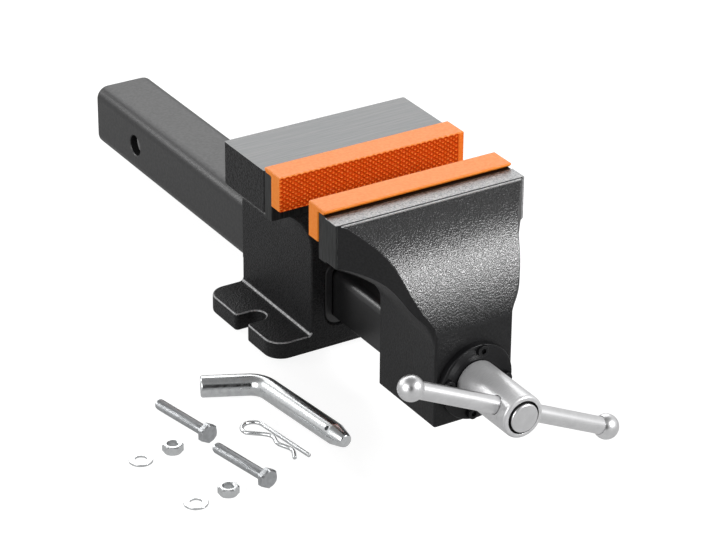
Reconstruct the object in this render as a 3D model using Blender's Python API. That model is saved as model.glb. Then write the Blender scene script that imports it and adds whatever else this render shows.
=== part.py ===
"""Bench vise with a square hitch shank.

Frame: +X along the jaws, +Y back along the shank, -Y towards the handle, +Z up.
The origin is at the middle of the base's underside, below the slide's axis.
"""
import math

import bmesh
import bpy
from mathutils import Matrix, Vector

MM = 0.001
DEG = math.pi / 180

# Clearances between pieces
GAP = 0.3 * MM                  # between pieces that touch
BAR_CLEARANCE = 0.4 * MM        # round the handle bar in the spindle head
OVERRUN = 6 * MM                # how far a cut runs past a face

# Axis and hitch shank: 2 in square tube with a 5/8 in pin hole
AXIS_HEIGHT = 44 * MM
SHANK_SIDE = 50.8 * MM
SHANK_WALL = 6.35 * MM
SHANK_CORNER = 10 * MM
SHANK_BORE_CORNER = 3.7 * MM
SHANK_END_CHAMFER = 3 * MM
SHANK_LENGTH = 367 * MM
PIN_HOLE_CLEARANCE = 1.1 * MM
PIN_HOLE_FROM_END = 69 * MM

# Base with two slotted ears
BASE_LENGTH = 102 * MM
BASE_WIDTH = 138 * MM
BASE_THICKNESS = 14 * MM
BASE_CORNER = 14 * MM
EAR_SLOT_WIDTH = 16 * MM
EAR_SLOT_DEPTH = 20 * MM
EAR_SLOT_SHIFT = -3 * MM
CAST_EDGE = 2 * MM

# Housing, neck and jaw block of the fixed casting
HOUSING_WIDTH = 75 * MM
HOUSING_ROOF = 14.6 * MM
JAW_WIDTH = 152.4 * MM
JAW_TOP = 157 * MM
JAW_BLOCK_HEIGHT = 35.5 * MM
JAW_BLOCK_LENGTH = 58 * MM
JAW_BLOCK_OVERHANG = 0.7 * MM
REAR_SWEEP_SHARE = 0.86

# Jaw plates and orange caps
JAW_OPENING = 39.3 * MM
PLATE_THICKNESS = 9.8 * MM
CAP_OVERHANG = 0.6 * MM
CAP_HEIGHT = 27 * MM
CAP_BODY = 12.4 * MM
CAP_LIP_REACH = 21.6 * MM
CAP_LIP_THICKNESS = 3.7 * MM
CAP_EDGE = 0.8 * MM
MAGNET_DIAMETER = 12 * MM
MAGNET_THICKNESS = 3 * MM
MAGNET_SPACING = 66 * MM
MAGNET_ABOVE_CAP_BOTTOM = 11 * MM

# Screws of the jaw plates
PLATE_SCREW_SPACING = 90 * MM
PLATE_SCREW_BELOW_TOP = 17.5 * MM
PLATE_SCREW_DIAMETER = 8 * MM
PLATE_SCREW_HEAD_DIAMETER = 15 * MM
PLATE_SCREW_HEAD_HEIGHT = 4 * MM
PLATE_SCREW_LENGTH = 24 * MM
PLATE_SCREW_SOCKET = 5 * MM
PLATE_SCREW_SOCKET_DEPTH = 2.6 * MM

# Moving casting
HEAD_LENGTH = 14.6 * MM
HEAD_BLOCK_HEIGHT = 33.4 * MM
BOSS_WIDTH = 59.2 * MM
BOSS_BELOW_AXIS = 28.7 * MM
BOSS_LENGTH = 71.9 * MM
HOOD_FRONT_ABOVE_AXIS = 42 * MM
HOOD_FRONT_OVERHANG = 0.9 * MM
HOOD_FRONT_EDGE = 2 * MM
HOOD_LINEAR_SHARE = 0.506
HOOD_CURVE_POWER = 4
FLANK_POWER = 0.6
HOOD_STATIONS = 14
FLANK_STEPS = 8

# Slide beam: channel with its open side down
SLIDE_CLEARANCE = 0.3 * MM
SLIDE_CORNER = 3 * MM
SLIDE_WALL = 4 * MM
SLIDE_ROOF = 4.6 * MM
SLIDE_REACH_BACK = 170 * MM
SLIDE_POCKET_FRONT_WALL = 18 * MM

# Lead screw, nut and thrust collar
SCREW_DIAMETER = 20 * MM
SCREW_REACH_BACK = 118 * MM
SCREW_TIP_CHAMFER = 2 * MM
STEM_DIAMETER = 19 * MM
COLLAR_DIAMETER = 34 * MM
COLLAR_THICKNESS = 5 * MM
WASHER_THICKNESS = 2 * MM
NUT_LENGTH = 35 * MM
NUT_FROM_FRONT = 12 * MM
NUT_BOLT_DIAMETER = 8 * MM
NUT_BOLT_HEAD_DIAMETER = 13 * MM
NUT_BOLT_HEAD_HEIGHT = 8 * MM
NUT_BOLT_RECESS = 2 * MM
NUT_BOLT_GRIP_IN_NUT = 7 * MM
NUT_BOLT_SOCKET = 6 * MM
NUT_BOLT_SOCKET_DEPTH = 4 * MM

# Retainer flange and its screws
FLANGE_DIAMETER = 60 * MM
FLANGE_THICKNESS = 4.8 * MM
FLANGE_LAND = 2.5 * MM
FLANGE_HUB_THICKNESS = 2.8 * MM
FLANGE_HUB_LAND = 2 * MM
FLANGE_SCREW_FROM_RIM = 6 * MM
FLANGE_SCREW_TURN = 8 * DEG
FLANGE_SCREW_DIAMETER = 5 * MM
FLANGE_SCREW_HEAD_DIAMETER = 8.5 * MM
FLANGE_SCREW_HEAD_HEIGHT = 3.4 * MM
FLANGE_SCREW_LENGTH = 16 * MM
FLANGE_SCREW_SOCKET = 4 * MM
FLANGE_SCREW_SOCKET_DEPTH = 2 * MM
FLANGE_SCREW_SEAT = 1.6 * MM

# Spindle head and handle
HEAD_DIAMETER = 32 * MM
HEAD_SLEEVE_LENGTH = 59.7 * MM
HEAD_CHAMFER = 1 * MM
HEAD_NOSE_ROUND = 2.2 * MM
HEAD_MOUTH_GROOVE = 1.75 * MM
HEAD_MOUTH_DEPTH = 3 * MM
STEM_PROUD = 0.8 * MM
STEM_CHAMFER = 1.5 * MM
BAR_FROM_HEAD_END = 16.5 * MM
BAR_DIAMETER = 12.7 * MM
BAR_TILT = 25.7 * DEG
BALL_SPACING = 180.9 * MM
BALL_DIAMETER = 18.6 * MM
BALL_FLAT_LAND = 0.4 * MM
SPIGOT_DIAMETER = 8 * MM
SPIGOT_LENGTH = 9 * MM

# Loose kit: hitch pin and its spring clip, each placed left of the base's side and forward of its front
PIN_DIAMETER = 15.9 * MM
PIN_BEND_RADIUS = 17 * MM
PIN_TIP_CHAMFER = 2.5 * MM
PIN_CROSS_HOLE = 3.6 * MM
PIN_CROSS_HOLE_FROM_TIP = 15 * MM
PIN_HEAD_LEG = 43.4 * MM
PIN_LONG_LEG = 99.6 * MM
PIN_HEAD_TURN = 154 * DEG
PIN_LONG_TURN = -83.7 * DEG
PIN_LEFT = 30 * MM
PIN_FORWARD = 34 * MM
CLIP_WIRE = 3 * MM
CLIP_LOOP_RADIUS = 8 * MM
CLIP_LEG = 54 * MM
CLIP_TURN = -82.5 * DEG
CLIP_LOOP_ENDS = (90, 285)      # in degrees
CLIP_WAVE_SHARES = ((0.29, 0.42), (0.51, 0.1), (0.74, 0.42), (0.93, -0.25))
CLIP_LEFT = 60 * MM
CLIP_FORWARD = 75 * MM

# Loose kit: two M8 bolts with nuts and washers, the second set in front of the first
BOLT_DIAMETER = 8 * MM
BOLT_LENGTH = 55 * MM
BOLT_HEAD_FLATS = 13 * MM
BOLT_HEAD_HEIGHT = 5.3 * MM
BOLT_TURN = -82 * DEG
NUT_HEIGHT = 6.5 * MM
WASHER_DIAMETER = 17 * MM
WASHER_CLEARANCE = 0.6 * MM
KIT_WASHER_THICKNESS = 1.6 * MM
BOLT_LEFT = 103 * MM
BOLT_FORWARD = 16 * MM
NUT_LEFT = 122 * MM
NUT_FORWARD = 72 * MM
WASHER_LEFT = 147 * MM
SET_SHIFT = 6 * MM
BOLT_SET_STEP = 73 * MM
NUT_SET_STEP = 68 * MM

# Smoothness of round pieces
ROUND_SIDES = 40
SMALL_SIDES = 24
ARC_STEPS = 8
CORNER_STEPS = 3
SMOOTH_ANGLE = 35 * DEG
BEVEL_ANGLE = 40 * DEG
HEXAGON = 6
CLIP_SIDES = 10

# Places worked out from the sizes above
BASE_FRONT = -BASE_LENGTH / 2
BASE_BACK = BASE_LENGTH / 2
HOUSING_HEIGHT = AXIS_HEIGHT + SHANK_SIDE / 2 + HOUSING_ROOF
JAW_BOTTOM = JAW_TOP - JAW_BLOCK_HEIGHT
BLOCK_FRONT = BASE_FRONT - JAW_BLOCK_OVERHANG
BLOCK_BACK = BLOCK_FRONT + JAW_BLOCK_LENGTH
FIXED_PLATE_FRONT = BLOCK_FRONT - GAP - PLATE_THICKNESS
FIXED_CAP_FRONT = FIXED_PLATE_FRONT - GAP - CAP_BODY
MOVING_CAP_BACK = FIXED_CAP_FRONT - JAW_OPENING
MOVING_PLATE_BACK = MOVING_CAP_BACK - CAP_BODY - GAP
CASTING_BACK = MOVING_PLATE_BACK - PLATE_THICKNESS - GAP
HEAD_FRONT = CASTING_BACK - HEAD_LENGTH
BOSS_FRONT = CASTING_BACK - BOSS_LENGTH
CAP_WIDTH = JAW_WIDTH + 2 * CAP_OVERHANG
CAP_BOTTOM = JAW_TOP + GAP + CAP_LIP_THICKNESS - CAP_HEIGHT
SHANK_BACK = BASE_FRONT + SHANK_LENGTH
SHANK_INSIDE = SHANK_SIDE - 2 * SHANK_WALL
PIN_HOLE_PLACE = SHANK_BACK - PIN_HOLE_FROM_END
PIN_HOLE_DIAMETER = PIN_DIAMETER + PIN_HOLE_CLEARANCE
BOSS_BOTTOM = AXIS_HEIGHT - BOSS_BELOW_AXIS
HOOD_FRONT_HEIGHT = AXIS_HEIGHT + HOOD_FRONT_ABOVE_AXIS
HOOD_FRONT_WIDTH = BOSS_WIDTH + 2 * HOOD_FRONT_OVERHANG
FLANK_START_HEIGHT = HOOD_FRONT_HEIGHT - HOOD_FRONT_EDGE
POCKET_FRONT = BOSS_FRONT + SLIDE_POCKET_FRONT_WALL
SLIDE_FRONT = POCKET_FRONT + GAP
COLLAR_RECESS_DEPTH = COLLAR_THICKNESS + WASHER_THICKNESS + 3 * GAP
FLANGE_BACK = BOSS_FRONT - GAP
FLANGE_HUB_DIAMETER = HEAD_DIAMETER + 2 * FLANGE_HUB_LAND
FLANGE_SCREW_CIRCLE = FLANGE_DIAMETER - 2 * FLANGE_SCREW_FROM_RIM
HEAD_BACK = FLANGE_BACK - FLANGE_HUB_THICKNESS - GAP
HEAD_END = HEAD_BACK - HEAD_SLEEVE_LENGTH
HEAD_MOUTH_DIAMETER = STEM_DIAMETER + 2 * HEAD_MOUTH_GROOVE
BALL_FLAT_DIAMETER = BAR_DIAMETER + 2 * BALL_FLAT_LAND
BAR_PLACE = Vector((0, HEAD_END + BAR_FROM_HEAD_END, AXIS_HEIGHT))
BAR_DIRECTION = Vector((math.cos(BAR_TILT), 0, -math.sin(BAR_TILT)))
SCREW_BORE = SCREW_DIAMETER + 2 * GAP
STEM_BORE = STEM_DIAMETER + 2 * GAP
NUT_FRONT = BASE_FRONT + NUT_FROM_FRONT
NUT_BACK = NUT_FRONT + NUT_LENGTH
NUT_BOTTOM = AXIS_HEIGHT - SHANK_INSIDE / 2 + GAP
SLIDE_SIDE = SHANK_INSIDE - 2 * SLIDE_CLEARANCE
CHANNEL_WIDTH = SLIDE_SIDE - 2 * SLIDE_WALL
CHANNEL_TOP = AXIS_HEIGHT + SLIDE_SIDE / 2 - SLIDE_ROOF
WASHER_BORE = BOLT_DIAMETER + WASHER_CLEARANCE


def remove_everything():
    for thing in list(bpy.data.objects):
        bpy.data.objects.remove(thing)


def linear(hex_colour):
    """An sRGB hex colour as linear red, green, blue and alpha."""
    channels = [int(hex_colour[i:i + 2], 16) / 255 for i in (0, 2, 4)]
    return [c / 12.92 if c <= 0.04045 else ((c + 0.055) / 1.055) ** 2.4 for c in channels] + [1]


def make_material(name, colour, roughness, metallic):
    material = bpy.data.materials.new(name)
    material.use_nodes = True
    shader = material.node_tree.nodes["Principled BSDF"]
    shader.inputs["Base Color"].default_value = linear(colour)
    shader.inputs["Roughness"].default_value = roughness
    shader.inputs["Metallic"].default_value = metallic
    material.diffuse_color = linear(colour)
    return material


def new_object(name, mesh_data, material=None):
    """Turn a bmesh into an object with smooth round faces; without a material it is a hidden cutter."""
    mesh = bpy.data.meshes.new(name)
    bmesh.ops.recalc_face_normals(mesh_data, faces=mesh_data.faces)
    mesh_data.to_mesh(mesh)
    mesh_data.free()
    mesh.shade_smooth()
    mesh.set_sharp_from_angle(angle=SMOOTH_ANGLE)
    thing = bpy.data.objects.new(name, mesh)
    bpy.context.scene.collection.objects.link(thing)
    if material:
        mesh.materials.append(material)
    else:
        thing.hide_render = True
        thing.display_type = "WIRE"
    return thing


def loft(rings):
    """Join closed rings of points, all with the same count, and cap both ends."""
    shape = bmesh.new()
    layers = [[shape.verts.new(point) for point in ring] for ring in rings]
    count = len(rings[0])
    for low, high in zip(layers, layers[1:]):
        for i in range(count):
            j = (i + 1) % count
            shape.faces.new((low[i], low[j], high[j], high[i]))
    shape.faces.new(layers[0])
    shape.faces.new(layers[-1])
    return shape


def prism(outline, place):
    """Extrude an outline between two ends; place(a, b, end) puts a point at end 0 or 1."""
    return loft([[place(a, b, end) for a, b in outline] for end in (0, 1)])


def along_y(low, high):
    return lambda a, b, end: (a, high if end else low, b)


def along_x(low, high):
    return lambda a, b, end: (high if end else low, a, b)


def along_z(low, high):
    return lambda a, b, end: (a, b, high if end else low)


def arc(centre, radius, start, stop, steps=ARC_STEPS):
    """Points on an arc, angles in degrees."""
    turn = [(start + (stop - start) * i / steps) * DEG for i in range(steps + 1)]
    return [(centre[0] + radius * math.cos(t), centre[1] + radius * math.sin(t)) for t in turn]


def rounded_box_outline(width, depth, radius, centre=(0, 0), steps=ARC_STEPS):
    a, b = width / 2 - radius, depth / 2 - radius
    corners = [(a, b, 0), (-a, b, 90), (-a, -b, 180), (a, -b, 270)]
    points = []
    for x, y, start in corners:
        points += arc((centre[0] + x, centre[1] + y), radius, start, start + 90, steps)
    return points


def mirrored(right_side):
    """A closed outline from its right half, listed bottom to top."""
    return right_side + [(-a, b) for a, b in reversed(right_side)]


def box_mesh(low, high):
    outline = [(low[0], low[1]), (high[0], low[1]), (high[0], high[1]), (low[0], high[1])]
    return prism(outline, along_z(low[2], high[2]))


def turned(profile, place, direction, sides=ROUND_SIDES):
    """Turn a profile of (distance along, radius) about an axis; a radius of 0 closes an end."""
    turn = Vector((0, 0, 1)).rotation_difference(Vector(direction)).to_matrix().to_4x4()
    place = Matrix.Translation(Vector(place)) @ turn
    shape = bmesh.new()
    rings = []
    for along, radius in profile:
        if radius == 0:
            rings.append([shape.verts.new(place @ Vector((0, 0, along)))])
            continue
        angles = [2 * math.pi * i / sides for i in range(sides)]
        rings.append([shape.verts.new(place @ Vector((radius * math.cos(t), radius * math.sin(t), along)))
                      for t in angles])
    pairs = list(zip(rings, rings[1:]))
    if profile[0][1] and profile[-1][1]:
        pairs.append((rings[-1], rings[0]))
    for low, high in pairs:
        for i in range(sides):
            j = (i + 1) % sides
            corners = [low[i % len(low)], low[j % len(low)], high[j % len(high)], high[i % len(high)]]
            shape.faces.new(list(dict.fromkeys(corners)))
    return shape


def rod(radius, start, stop, chamfer=0):
    """Profile of a plain round rod, chamfered at its stop end."""
    if chamfer:
        return [(start, 0), (start, radius), (stop - chamfer, radius), (stop, radius - chamfer), (stop, 0)]
    return [(start, 0), (start, radius), (stop, radius), (stop, 0)]


def hexagon(flats, place, direction, depth):
    """A hexagonal prism from place along direction."""
    radius = flats / math.sqrt(3)
    return turned(rod(radius, 0, depth), place, direction, HEXAGON)


def boolean(target, tool_mesh, operation, bevel=0):
    """Cut with or add a hidden helper object."""
    tool = new_object(target.name + "_" + operation.lower(), tool_mesh)
    if bevel:
        add_bevel(tool, bevel)
    step = target.modifiers.new(operation.title(), "BOOLEAN")
    step.operation = operation
    step.object = tool
    return target


def cut(target, tool_mesh):
    return boolean(target, tool_mesh, "DIFFERENCE")


def add(target, tool_mesh, bevel=0):
    return boolean(target, tool_mesh, "UNION", bevel)


def add_bevel(thing, width, segments=2):
    """Round the sharp edges; one segment makes a chamfer."""
    step = thing.modifiers.new("Bevel", "BEVEL")
    step.width = width
    step.segments = segments
    step.limit_method = "ANGLE"
    step.angle_limit = BEVEL_ANGLE
    return thing


def swept(points, radius, sides, chamfer=0):
    """A round bar along points, with rings square to the path."""
    rings = []
    normal = Vector((0, 0, 1))
    for i, point in enumerate(points):
        ahead = (points[min(i + 1, len(points) - 1)] - points[max(i - 1, 0)]).normalized()
        side = ahead.cross(normal).normalized()
        up = side.cross(ahead)
        ring = [point + radius * (math.cos(t) * side + math.sin(t) * up)
                for t in (2 * math.pi * k / sides for k in range(sides))]
        rings.append((point, ahead, ring))
    loops = [ring for _, _, ring in rings]
    if chamfer:
        shrink = (radius - chamfer) / radius
        for at, sign in ((0, -1), (-1, 1)):
            point, ahead, ring = rings[at]
            end = [point + sign * chamfer * ahead + (p - point) * shrink for p in ring]
            loops.insert(0, end) if at == 0 else loops.append(end)
    return loft(loops)


def fixed_section():
    """Front view of housing, neck and jaw block: upright walls that flare out to the jaw's width."""
    flare = (JAW_WIDTH - HOUSING_WIDTH) / 2
    centre = (JAW_WIDTH / 2, JAW_BOTTOM - flare)
    half = [(HOUSING_WIDTH / 2, CAST_EDGE)]
    half += arc(centre, flare, 180, 90)
    half.append((JAW_WIDTH / 2, JAW_TOP))
    return mirrored(half)


def make_fixed_body(material):
    body = new_object("fixed_body", prism(fixed_section(), along_y(BLOCK_FRONT, BLOCK_BACK)), material)
    add_bevel(body, CAST_EDGE)
    housing = mirrored([(HOUSING_WIDTH / 2, 0), (HOUSING_WIDTH / 2, HOUSING_HEIGHT)])
    add(body, prism(housing, along_y(BASE_FRONT, BASE_BACK)), CAST_EDGE)
    drop = (JAW_BOTTOM - HOUSING_HEIGHT) * REAR_SWEEP_SHARE
    run = BASE_BACK - CAST_EDGE - BLOCK_BACK
    sweep = [(BLOCK_BACK - OVERRUN, AXIS_HEIGHT + SHANK_SIDE / 2 + CAST_EDGE)]
    sweep += [(BLOCK_BACK + run, AXIS_HEIGHT + SHANK_SIDE / 2 + CAST_EDGE)]
    sweep += [(BLOCK_BACK + run * (1 - math.sin(t)), HOUSING_HEIGHT - CAST_EDGE + drop * (1 - math.cos(t)))
              for t in (math.pi / 2 * i / ARC_STEPS for i in range(ARC_STEPS + 1))]
    sweep += [(BLOCK_BACK - OVERRUN, HOUSING_HEIGHT - CAST_EDGE + drop)]
    half_neck = HOUSING_WIDTH / 2 - CAST_EDGE
    add(body, prism(sweep, along_x(-half_neck, half_neck)))
    base = rounded_box_outline(BASE_WIDTH, BASE_LENGTH, BASE_CORNER)
    add(body, prism(base, along_z(0, BASE_THICKNESS)), CAST_EDGE)
    for side in (-1, 1):
        end = side * (BASE_WIDTH / 2 - EAR_SLOT_DEPTH + EAR_SLOT_WIDTH / 2)
        reach = BASE_WIDTH / 2 + OVERRUN - abs(end)
        slot = rounded_box_outline(2 * reach, EAR_SLOT_WIDTH, EAR_SLOT_WIDTH / 2 - GAP,
                                   (side * (BASE_WIDTH / 2 - EAR_SLOT_DEPTH + reach), EAR_SLOT_SHIFT))
        cut(body, prism(slot, along_z(-OVERRUN, BASE_THICKNESS + OVERRUN)))
    tunnel = rounded_box_outline(SHANK_SIDE + 2 * GAP, SHANK_SIDE + 2 * GAP, SHANK_CORNER + GAP,
                                 (0, AXIS_HEIGHT))
    cut(body, prism(tunnel, along_y(BASE_FRONT - OVERRUN, BASE_BACK + OVERRUN)))
    bolt_place = (0, (NUT_FRONT + NUT_BACK) / 2, -OVERRUN)
    head_room = NUT_BOLT_RECESS + NUT_BOLT_HEAD_HEIGHT
    cut(body, turned([(0, 0), (0, NUT_BOLT_HEAD_DIAMETER / 2 + GAP),
                      (OVERRUN + head_room, NUT_BOLT_HEAD_DIAMETER / 2 + GAP),
                      (OVERRUN + head_room, NUT_BOLT_DIAMETER / 2 + GAP),
                      (AXIS_HEIGHT, NUT_BOLT_DIAMETER / 2 + GAP), (AXIS_HEIGHT, 0)],
                     bolt_place, (0, 0, 1), SMALL_SIDES))
    for x in (-PLATE_SCREW_SPACING / 2, PLATE_SCREW_SPACING / 2):
        cut(body, plate_screw_hole(x, BLOCK_FRONT - OVERRUN, 1))
    return body


def plate_screw_hole(x, y, direction):
    depth = OVERRUN + PLATE_SCREW_LENGTH - PLATE_THICKNESS + 2 * GAP
    return turned(rod(PLATE_SCREW_DIAMETER / 2 + GAP, 0, depth),
                  (x, y, JAW_TOP - PLATE_SCREW_BELOW_TOP), (0, direction, 0), SMALL_SIDES)


def make_hitch_shank(material):
    """Square tube with a bevelled far end and the cross hole for the hitch pin."""
    rings = []
    for y, inset in ((BASE_FRONT, 0), (SHANK_BACK - SHANK_END_CHAMFER, 0), (SHANK_BACK, SHANK_END_CHAMFER)):
        outline = rounded_box_outline(SHANK_SIDE - 2 * inset, SHANK_SIDE - 2 * inset,
                                      SHANK_CORNER - inset, (0, AXIS_HEIGHT))
        rings.append([(x, y, z) for x, z in outline])
    shank = new_object("hitch_shank", loft(rings), material)
    inside = rounded_box_outline(SHANK_INSIDE, SHANK_INSIDE, SHANK_BORE_CORNER, (0, AXIS_HEIGHT))
    cut(shank, prism(inside, along_y(BASE_FRONT - OVERRUN, SHANK_BACK + OVERRUN)))
    reach = SHANK_SIDE / 2 + OVERRUN
    cut(shank, turned(rod(PIN_HOLE_DIAMETER / 2, -reach, reach), (0, PIN_HOLE_PLACE, AXIS_HEIGHT), (1, 0, 0)))
    cut(shank, turned(rod(NUT_BOLT_DIAMETER / 2 + GAP, 0, AXIS_HEIGHT),
                      (0, (NUT_FRONT + NUT_BACK) / 2, 0), (0, 0, 1), SMALL_SIDES))
    return shank


def make_jaw_plate(name, front, direction, material):
    """Steel plate; direction is the way its screws go in."""
    half = JAW_WIDTH / 2
    low = (-half, front, JAW_BOTTOM)
    high = (half, front + PLATE_THICKNESS, JAW_TOP)
    plate = new_object(name, box_mesh(low, high), material)
    add_bevel(plate, CAP_EDGE, 1)
    face = front if direction > 0 else front + PLATE_THICKNESS
    head = PLATE_SCREW_HEAD_DIAMETER / 2 + GAP
    shaft = PLATE_SCREW_DIAMETER / 2 + GAP
    for x in (-PLATE_SCREW_SPACING / 2, PLATE_SCREW_SPACING / 2):
        hole = [(-OVERRUN, 0), (-OVERRUN, head), (GAP, head), (GAP + PLATE_SCREW_HEAD_HEIGHT, shaft),
                (PLATE_THICKNESS + OVERRUN, shaft), (PLATE_THICKNESS + OVERRUN, 0)]
        cut(plate, turned(hole, (x, face, JAW_TOP - PLATE_SCREW_BELOW_TOP), (0, direction, 0), SMALL_SIDES))
    return plate


def make_plate_screw(name, x, face, direction, material):
    """Countersunk screw with a hexagonal socket, its head a little below the plate's face."""
    head, shaft = PLATE_SCREW_HEAD_DIAMETER / 2, PLATE_SCREW_DIAMETER / 2
    profile = [(GAP, 0), (GAP, head), (GAP + PLATE_SCREW_HEAD_HEIGHT, shaft),
               (PLATE_SCREW_LENGTH, shaft), (PLATE_SCREW_LENGTH, 0)]
    place = (x, face, JAW_TOP - PLATE_SCREW_BELOW_TOP)
    screw = new_object(name, turned(profile, place, (0, direction, 0), SMALL_SIDES), material)
    start = (x, face - direction * OVERRUN, place[2])
    return cut(screw, hexagon(PLATE_SCREW_SOCKET, start, (0, direction, 0),
                              OVERRUN + GAP + PLATE_SCREW_SOCKET_DEPTH))


def make_jaw_cap(name, face, direction, material):
    """L-shaped cap: a thick face and a lip back over the jaw; direction points from face to jaw."""
    body_back = face + direction * CAP_BODY
    lip_back = face + direction * CAP_LIP_REACH
    top = JAW_TOP + GAP + CAP_LIP_THICKNESS
    outline = [(face, CAP_BOTTOM), (body_back, CAP_BOTTOM), (body_back, JAW_TOP + GAP),
               (lip_back, JAW_TOP + GAP), (lip_back, top), (face, top)]
    cap = new_object(name, prism(outline, along_x(-CAP_WIDTH / 2, CAP_WIDTH / 2)), material)
    add_bevel(cap, CAP_EDGE, 1)
    for x in (-MAGNET_SPACING / 2, MAGNET_SPACING / 2):
        pocket = rod(MAGNET_DIAMETER / 2 + GAP, -OVERRUN, MAGNET_THICKNESS + 2 * GAP)
        place = (x, body_back, CAP_BOTTOM + MAGNET_ABOVE_CAP_BOTTOM)
        cut(cap, turned(pocket, place, (0, -direction, 0), SMALL_SIDES))
    return cap


def make_magnet(name, x, face, direction, material):
    """Round magnet set in the back of a cap, level with it."""
    place = (x, face + direction * CAP_BODY, CAP_BOTTOM + MAGNET_ABOVE_CAP_BOTTOM)
    profile = rod(MAGNET_DIAMETER / 2, GAP / 2, MAGNET_THICKNESS + GAP / 2)
    return new_object(name, turned(profile, place, (0, -direction, 0), SMALL_SIDES), material)


def casting_ring(y):
    """Cross-section of the moving casting at y: square boss below, flanks that flare to the hood."""
    along = max(0, (HEAD_FRONT - y) / (HEAD_FRONT - BOSS_FRONT))
    drop = JAW_TOP - HOOD_FRONT_HEIGHT
    top = JAW_TOP - drop * (HOOD_LINEAR_SHARE * along + (1 - HOOD_LINEAR_SHARE) * along ** HOOD_CURVE_POWER)
    hood = (JAW_WIDTH + (HOOD_FRONT_WIDTH - JAW_WIDTH) * along) / 2
    boss = BOSS_WIDTH / 2
    full_rise = JAW_TOP - HEAD_BLOCK_HEIGHT - FLANK_START_HEIGHT
    rise = full_rise * (hood - boss) / (JAW_WIDTH / 2 - boss)
    half = [(boss, BOSS_BOTTOM)]
    for i in range(FLANK_STEPS + 1):
        share = (i / FLANK_STEPS) ** 2
        half.append((boss + (hood - boss) * share, FLANK_START_HEIGHT + rise * share ** FLANK_POWER))
    half.append((hood, top))
    return [(x, y, z) for x, z in mirrored(half)]


def make_moving_jaw(material):
    hood = [HEAD_FRONT + (BOSS_FRONT - HEAD_FRONT) * i / HOOD_STATIONS for i in range(HOOD_STATIONS + 1)]
    jaw = new_object("moving_jaw", loft([casting_ring(y) for y in [CASTING_BACK] + hood]), material)
    pocket = rounded_box_outline(SLIDE_SIDE + 2 * GAP, SLIDE_SIDE + 2 * GAP, SLIDE_CORNER + GAP,
                                 (0, AXIS_HEIGHT))
    cut(jaw, prism(pocket, along_y(POCKET_FRONT, CASTING_BACK + OVERRUN)))
    recess = COLLAR_DIAMETER / 2 + GAP
    deep = COLLAR_RECESS_DEPTH
    through = BOSS_LENGTH
    cut(jaw, turned([(-OVERRUN, 0), (-OVERRUN, recess), (deep, recess), (deep, SCREW_BORE / 2),
                     (through, SCREW_BORE / 2), (through, 0)], (0, BOSS_FRONT, AXIS_HEIGHT), (0, 1, 0)))
    for turn in flange_screw_turns():
        hole = rod(FLANGE_SCREW_DIAMETER / 2 + GAP, -OVERRUN, FLANGE_SCREW_LENGTH)
        cut(jaw, turned(hole, flange_screw_place(turn, BOSS_FRONT), (0, 1, 0), SMALL_SIDES))
    for x in (-PLATE_SCREW_SPACING / 2, PLATE_SCREW_SPACING / 2):
        cut(jaw, plate_screw_hole(x, CASTING_BACK + OVERRUN, -1))
    return jaw


def make_slide_beam(material):
    outline = rounded_box_outline(SLIDE_SIDE, SLIDE_SIDE, SLIDE_CORNER, (0, AXIS_HEIGHT), CORNER_STEPS)
    beam = new_object("slide_beam", prism(outline, along_y(SLIDE_FRONT, SLIDE_REACH_BACK)), material)
    bottom = AXIS_HEIGHT - SLIDE_SIDE
    low = (-CHANNEL_WIDTH / 2, SLIDE_FRONT - OVERRUN, bottom)
    high = (CHANNEL_WIDTH / 2, SLIDE_REACH_BACK + OVERRUN, CHANNEL_TOP)
    return cut(beam, box_mesh(low, high))


def make_lead_nut(material):
    """Nut block that stands on the shank's floor inside the slide's channel."""
    half = CHANNEL_WIDTH / 2 - GAP
    nut = new_object("lead_nut", box_mesh((-half, NUT_FRONT, NUT_BOTTOM), (half, NUT_BACK, CHANNEL_TOP - GAP)),
                     material)
    add_bevel(nut, CAP_EDGE, 1)
    reach = NUT_LENGTH + 2 * OVERRUN
    cut(nut, turned(rod(SCREW_BORE / 2, 0, reach), (0, NUT_FRONT - OVERRUN, AXIS_HEIGHT), (0, 1, 0)))
    hole = rod(NUT_BOLT_DIAMETER / 2 + GAP, -OVERRUN, NUT_BOLT_GRIP_IN_NUT + GAP)
    return cut(nut, turned(hole, (0, (NUT_FRONT + NUT_BACK) / 2, NUT_BOTTOM), (0, 0, 1), SMALL_SIDES))


def make_nut_bolt(material):
    """Socket screw from below, through base and shank into the nut."""
    head_top = NUT_BOLT_RECESS + NUT_BOLT_HEAD_HEIGHT - GAP
    profile = [(NUT_BOLT_RECESS, 0), (NUT_BOLT_RECESS, NUT_BOLT_HEAD_DIAMETER / 2),
               (head_top, NUT_BOLT_HEAD_DIAMETER / 2), (head_top, NUT_BOLT_DIAMETER / 2),
               (NUT_BOTTOM + NUT_BOLT_GRIP_IN_NUT, NUT_BOLT_DIAMETER / 2),
               (NUT_BOTTOM + NUT_BOLT_GRIP_IN_NUT, 0)]
    y = (NUT_FRONT + NUT_BACK) / 2
    bolt = new_object("nut_bolt", turned(profile, (0, y, 0), (0, 0, 1), SMALL_SIDES), material)
    return cut(bolt, hexagon(NUT_BOLT_SOCKET, (0, y, 0), (0, 0, 1), NUT_BOLT_RECESS + NUT_BOLT_SOCKET_DEPTH))


def flange_screw_turns():
    """Angles of the four flange screws: top, right, bottom and left."""
    return [math.pi / 2 - FLANGE_SCREW_TURN - k * math.pi / 2 for k in range(4)]


def flange_screw_place(turn, y):
    return (FLANGE_SCREW_CIRCLE / 2 * math.cos(turn), y, AXIS_HEIGHT + FLANGE_SCREW_CIRCLE / 2 * math.sin(turn))


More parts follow.
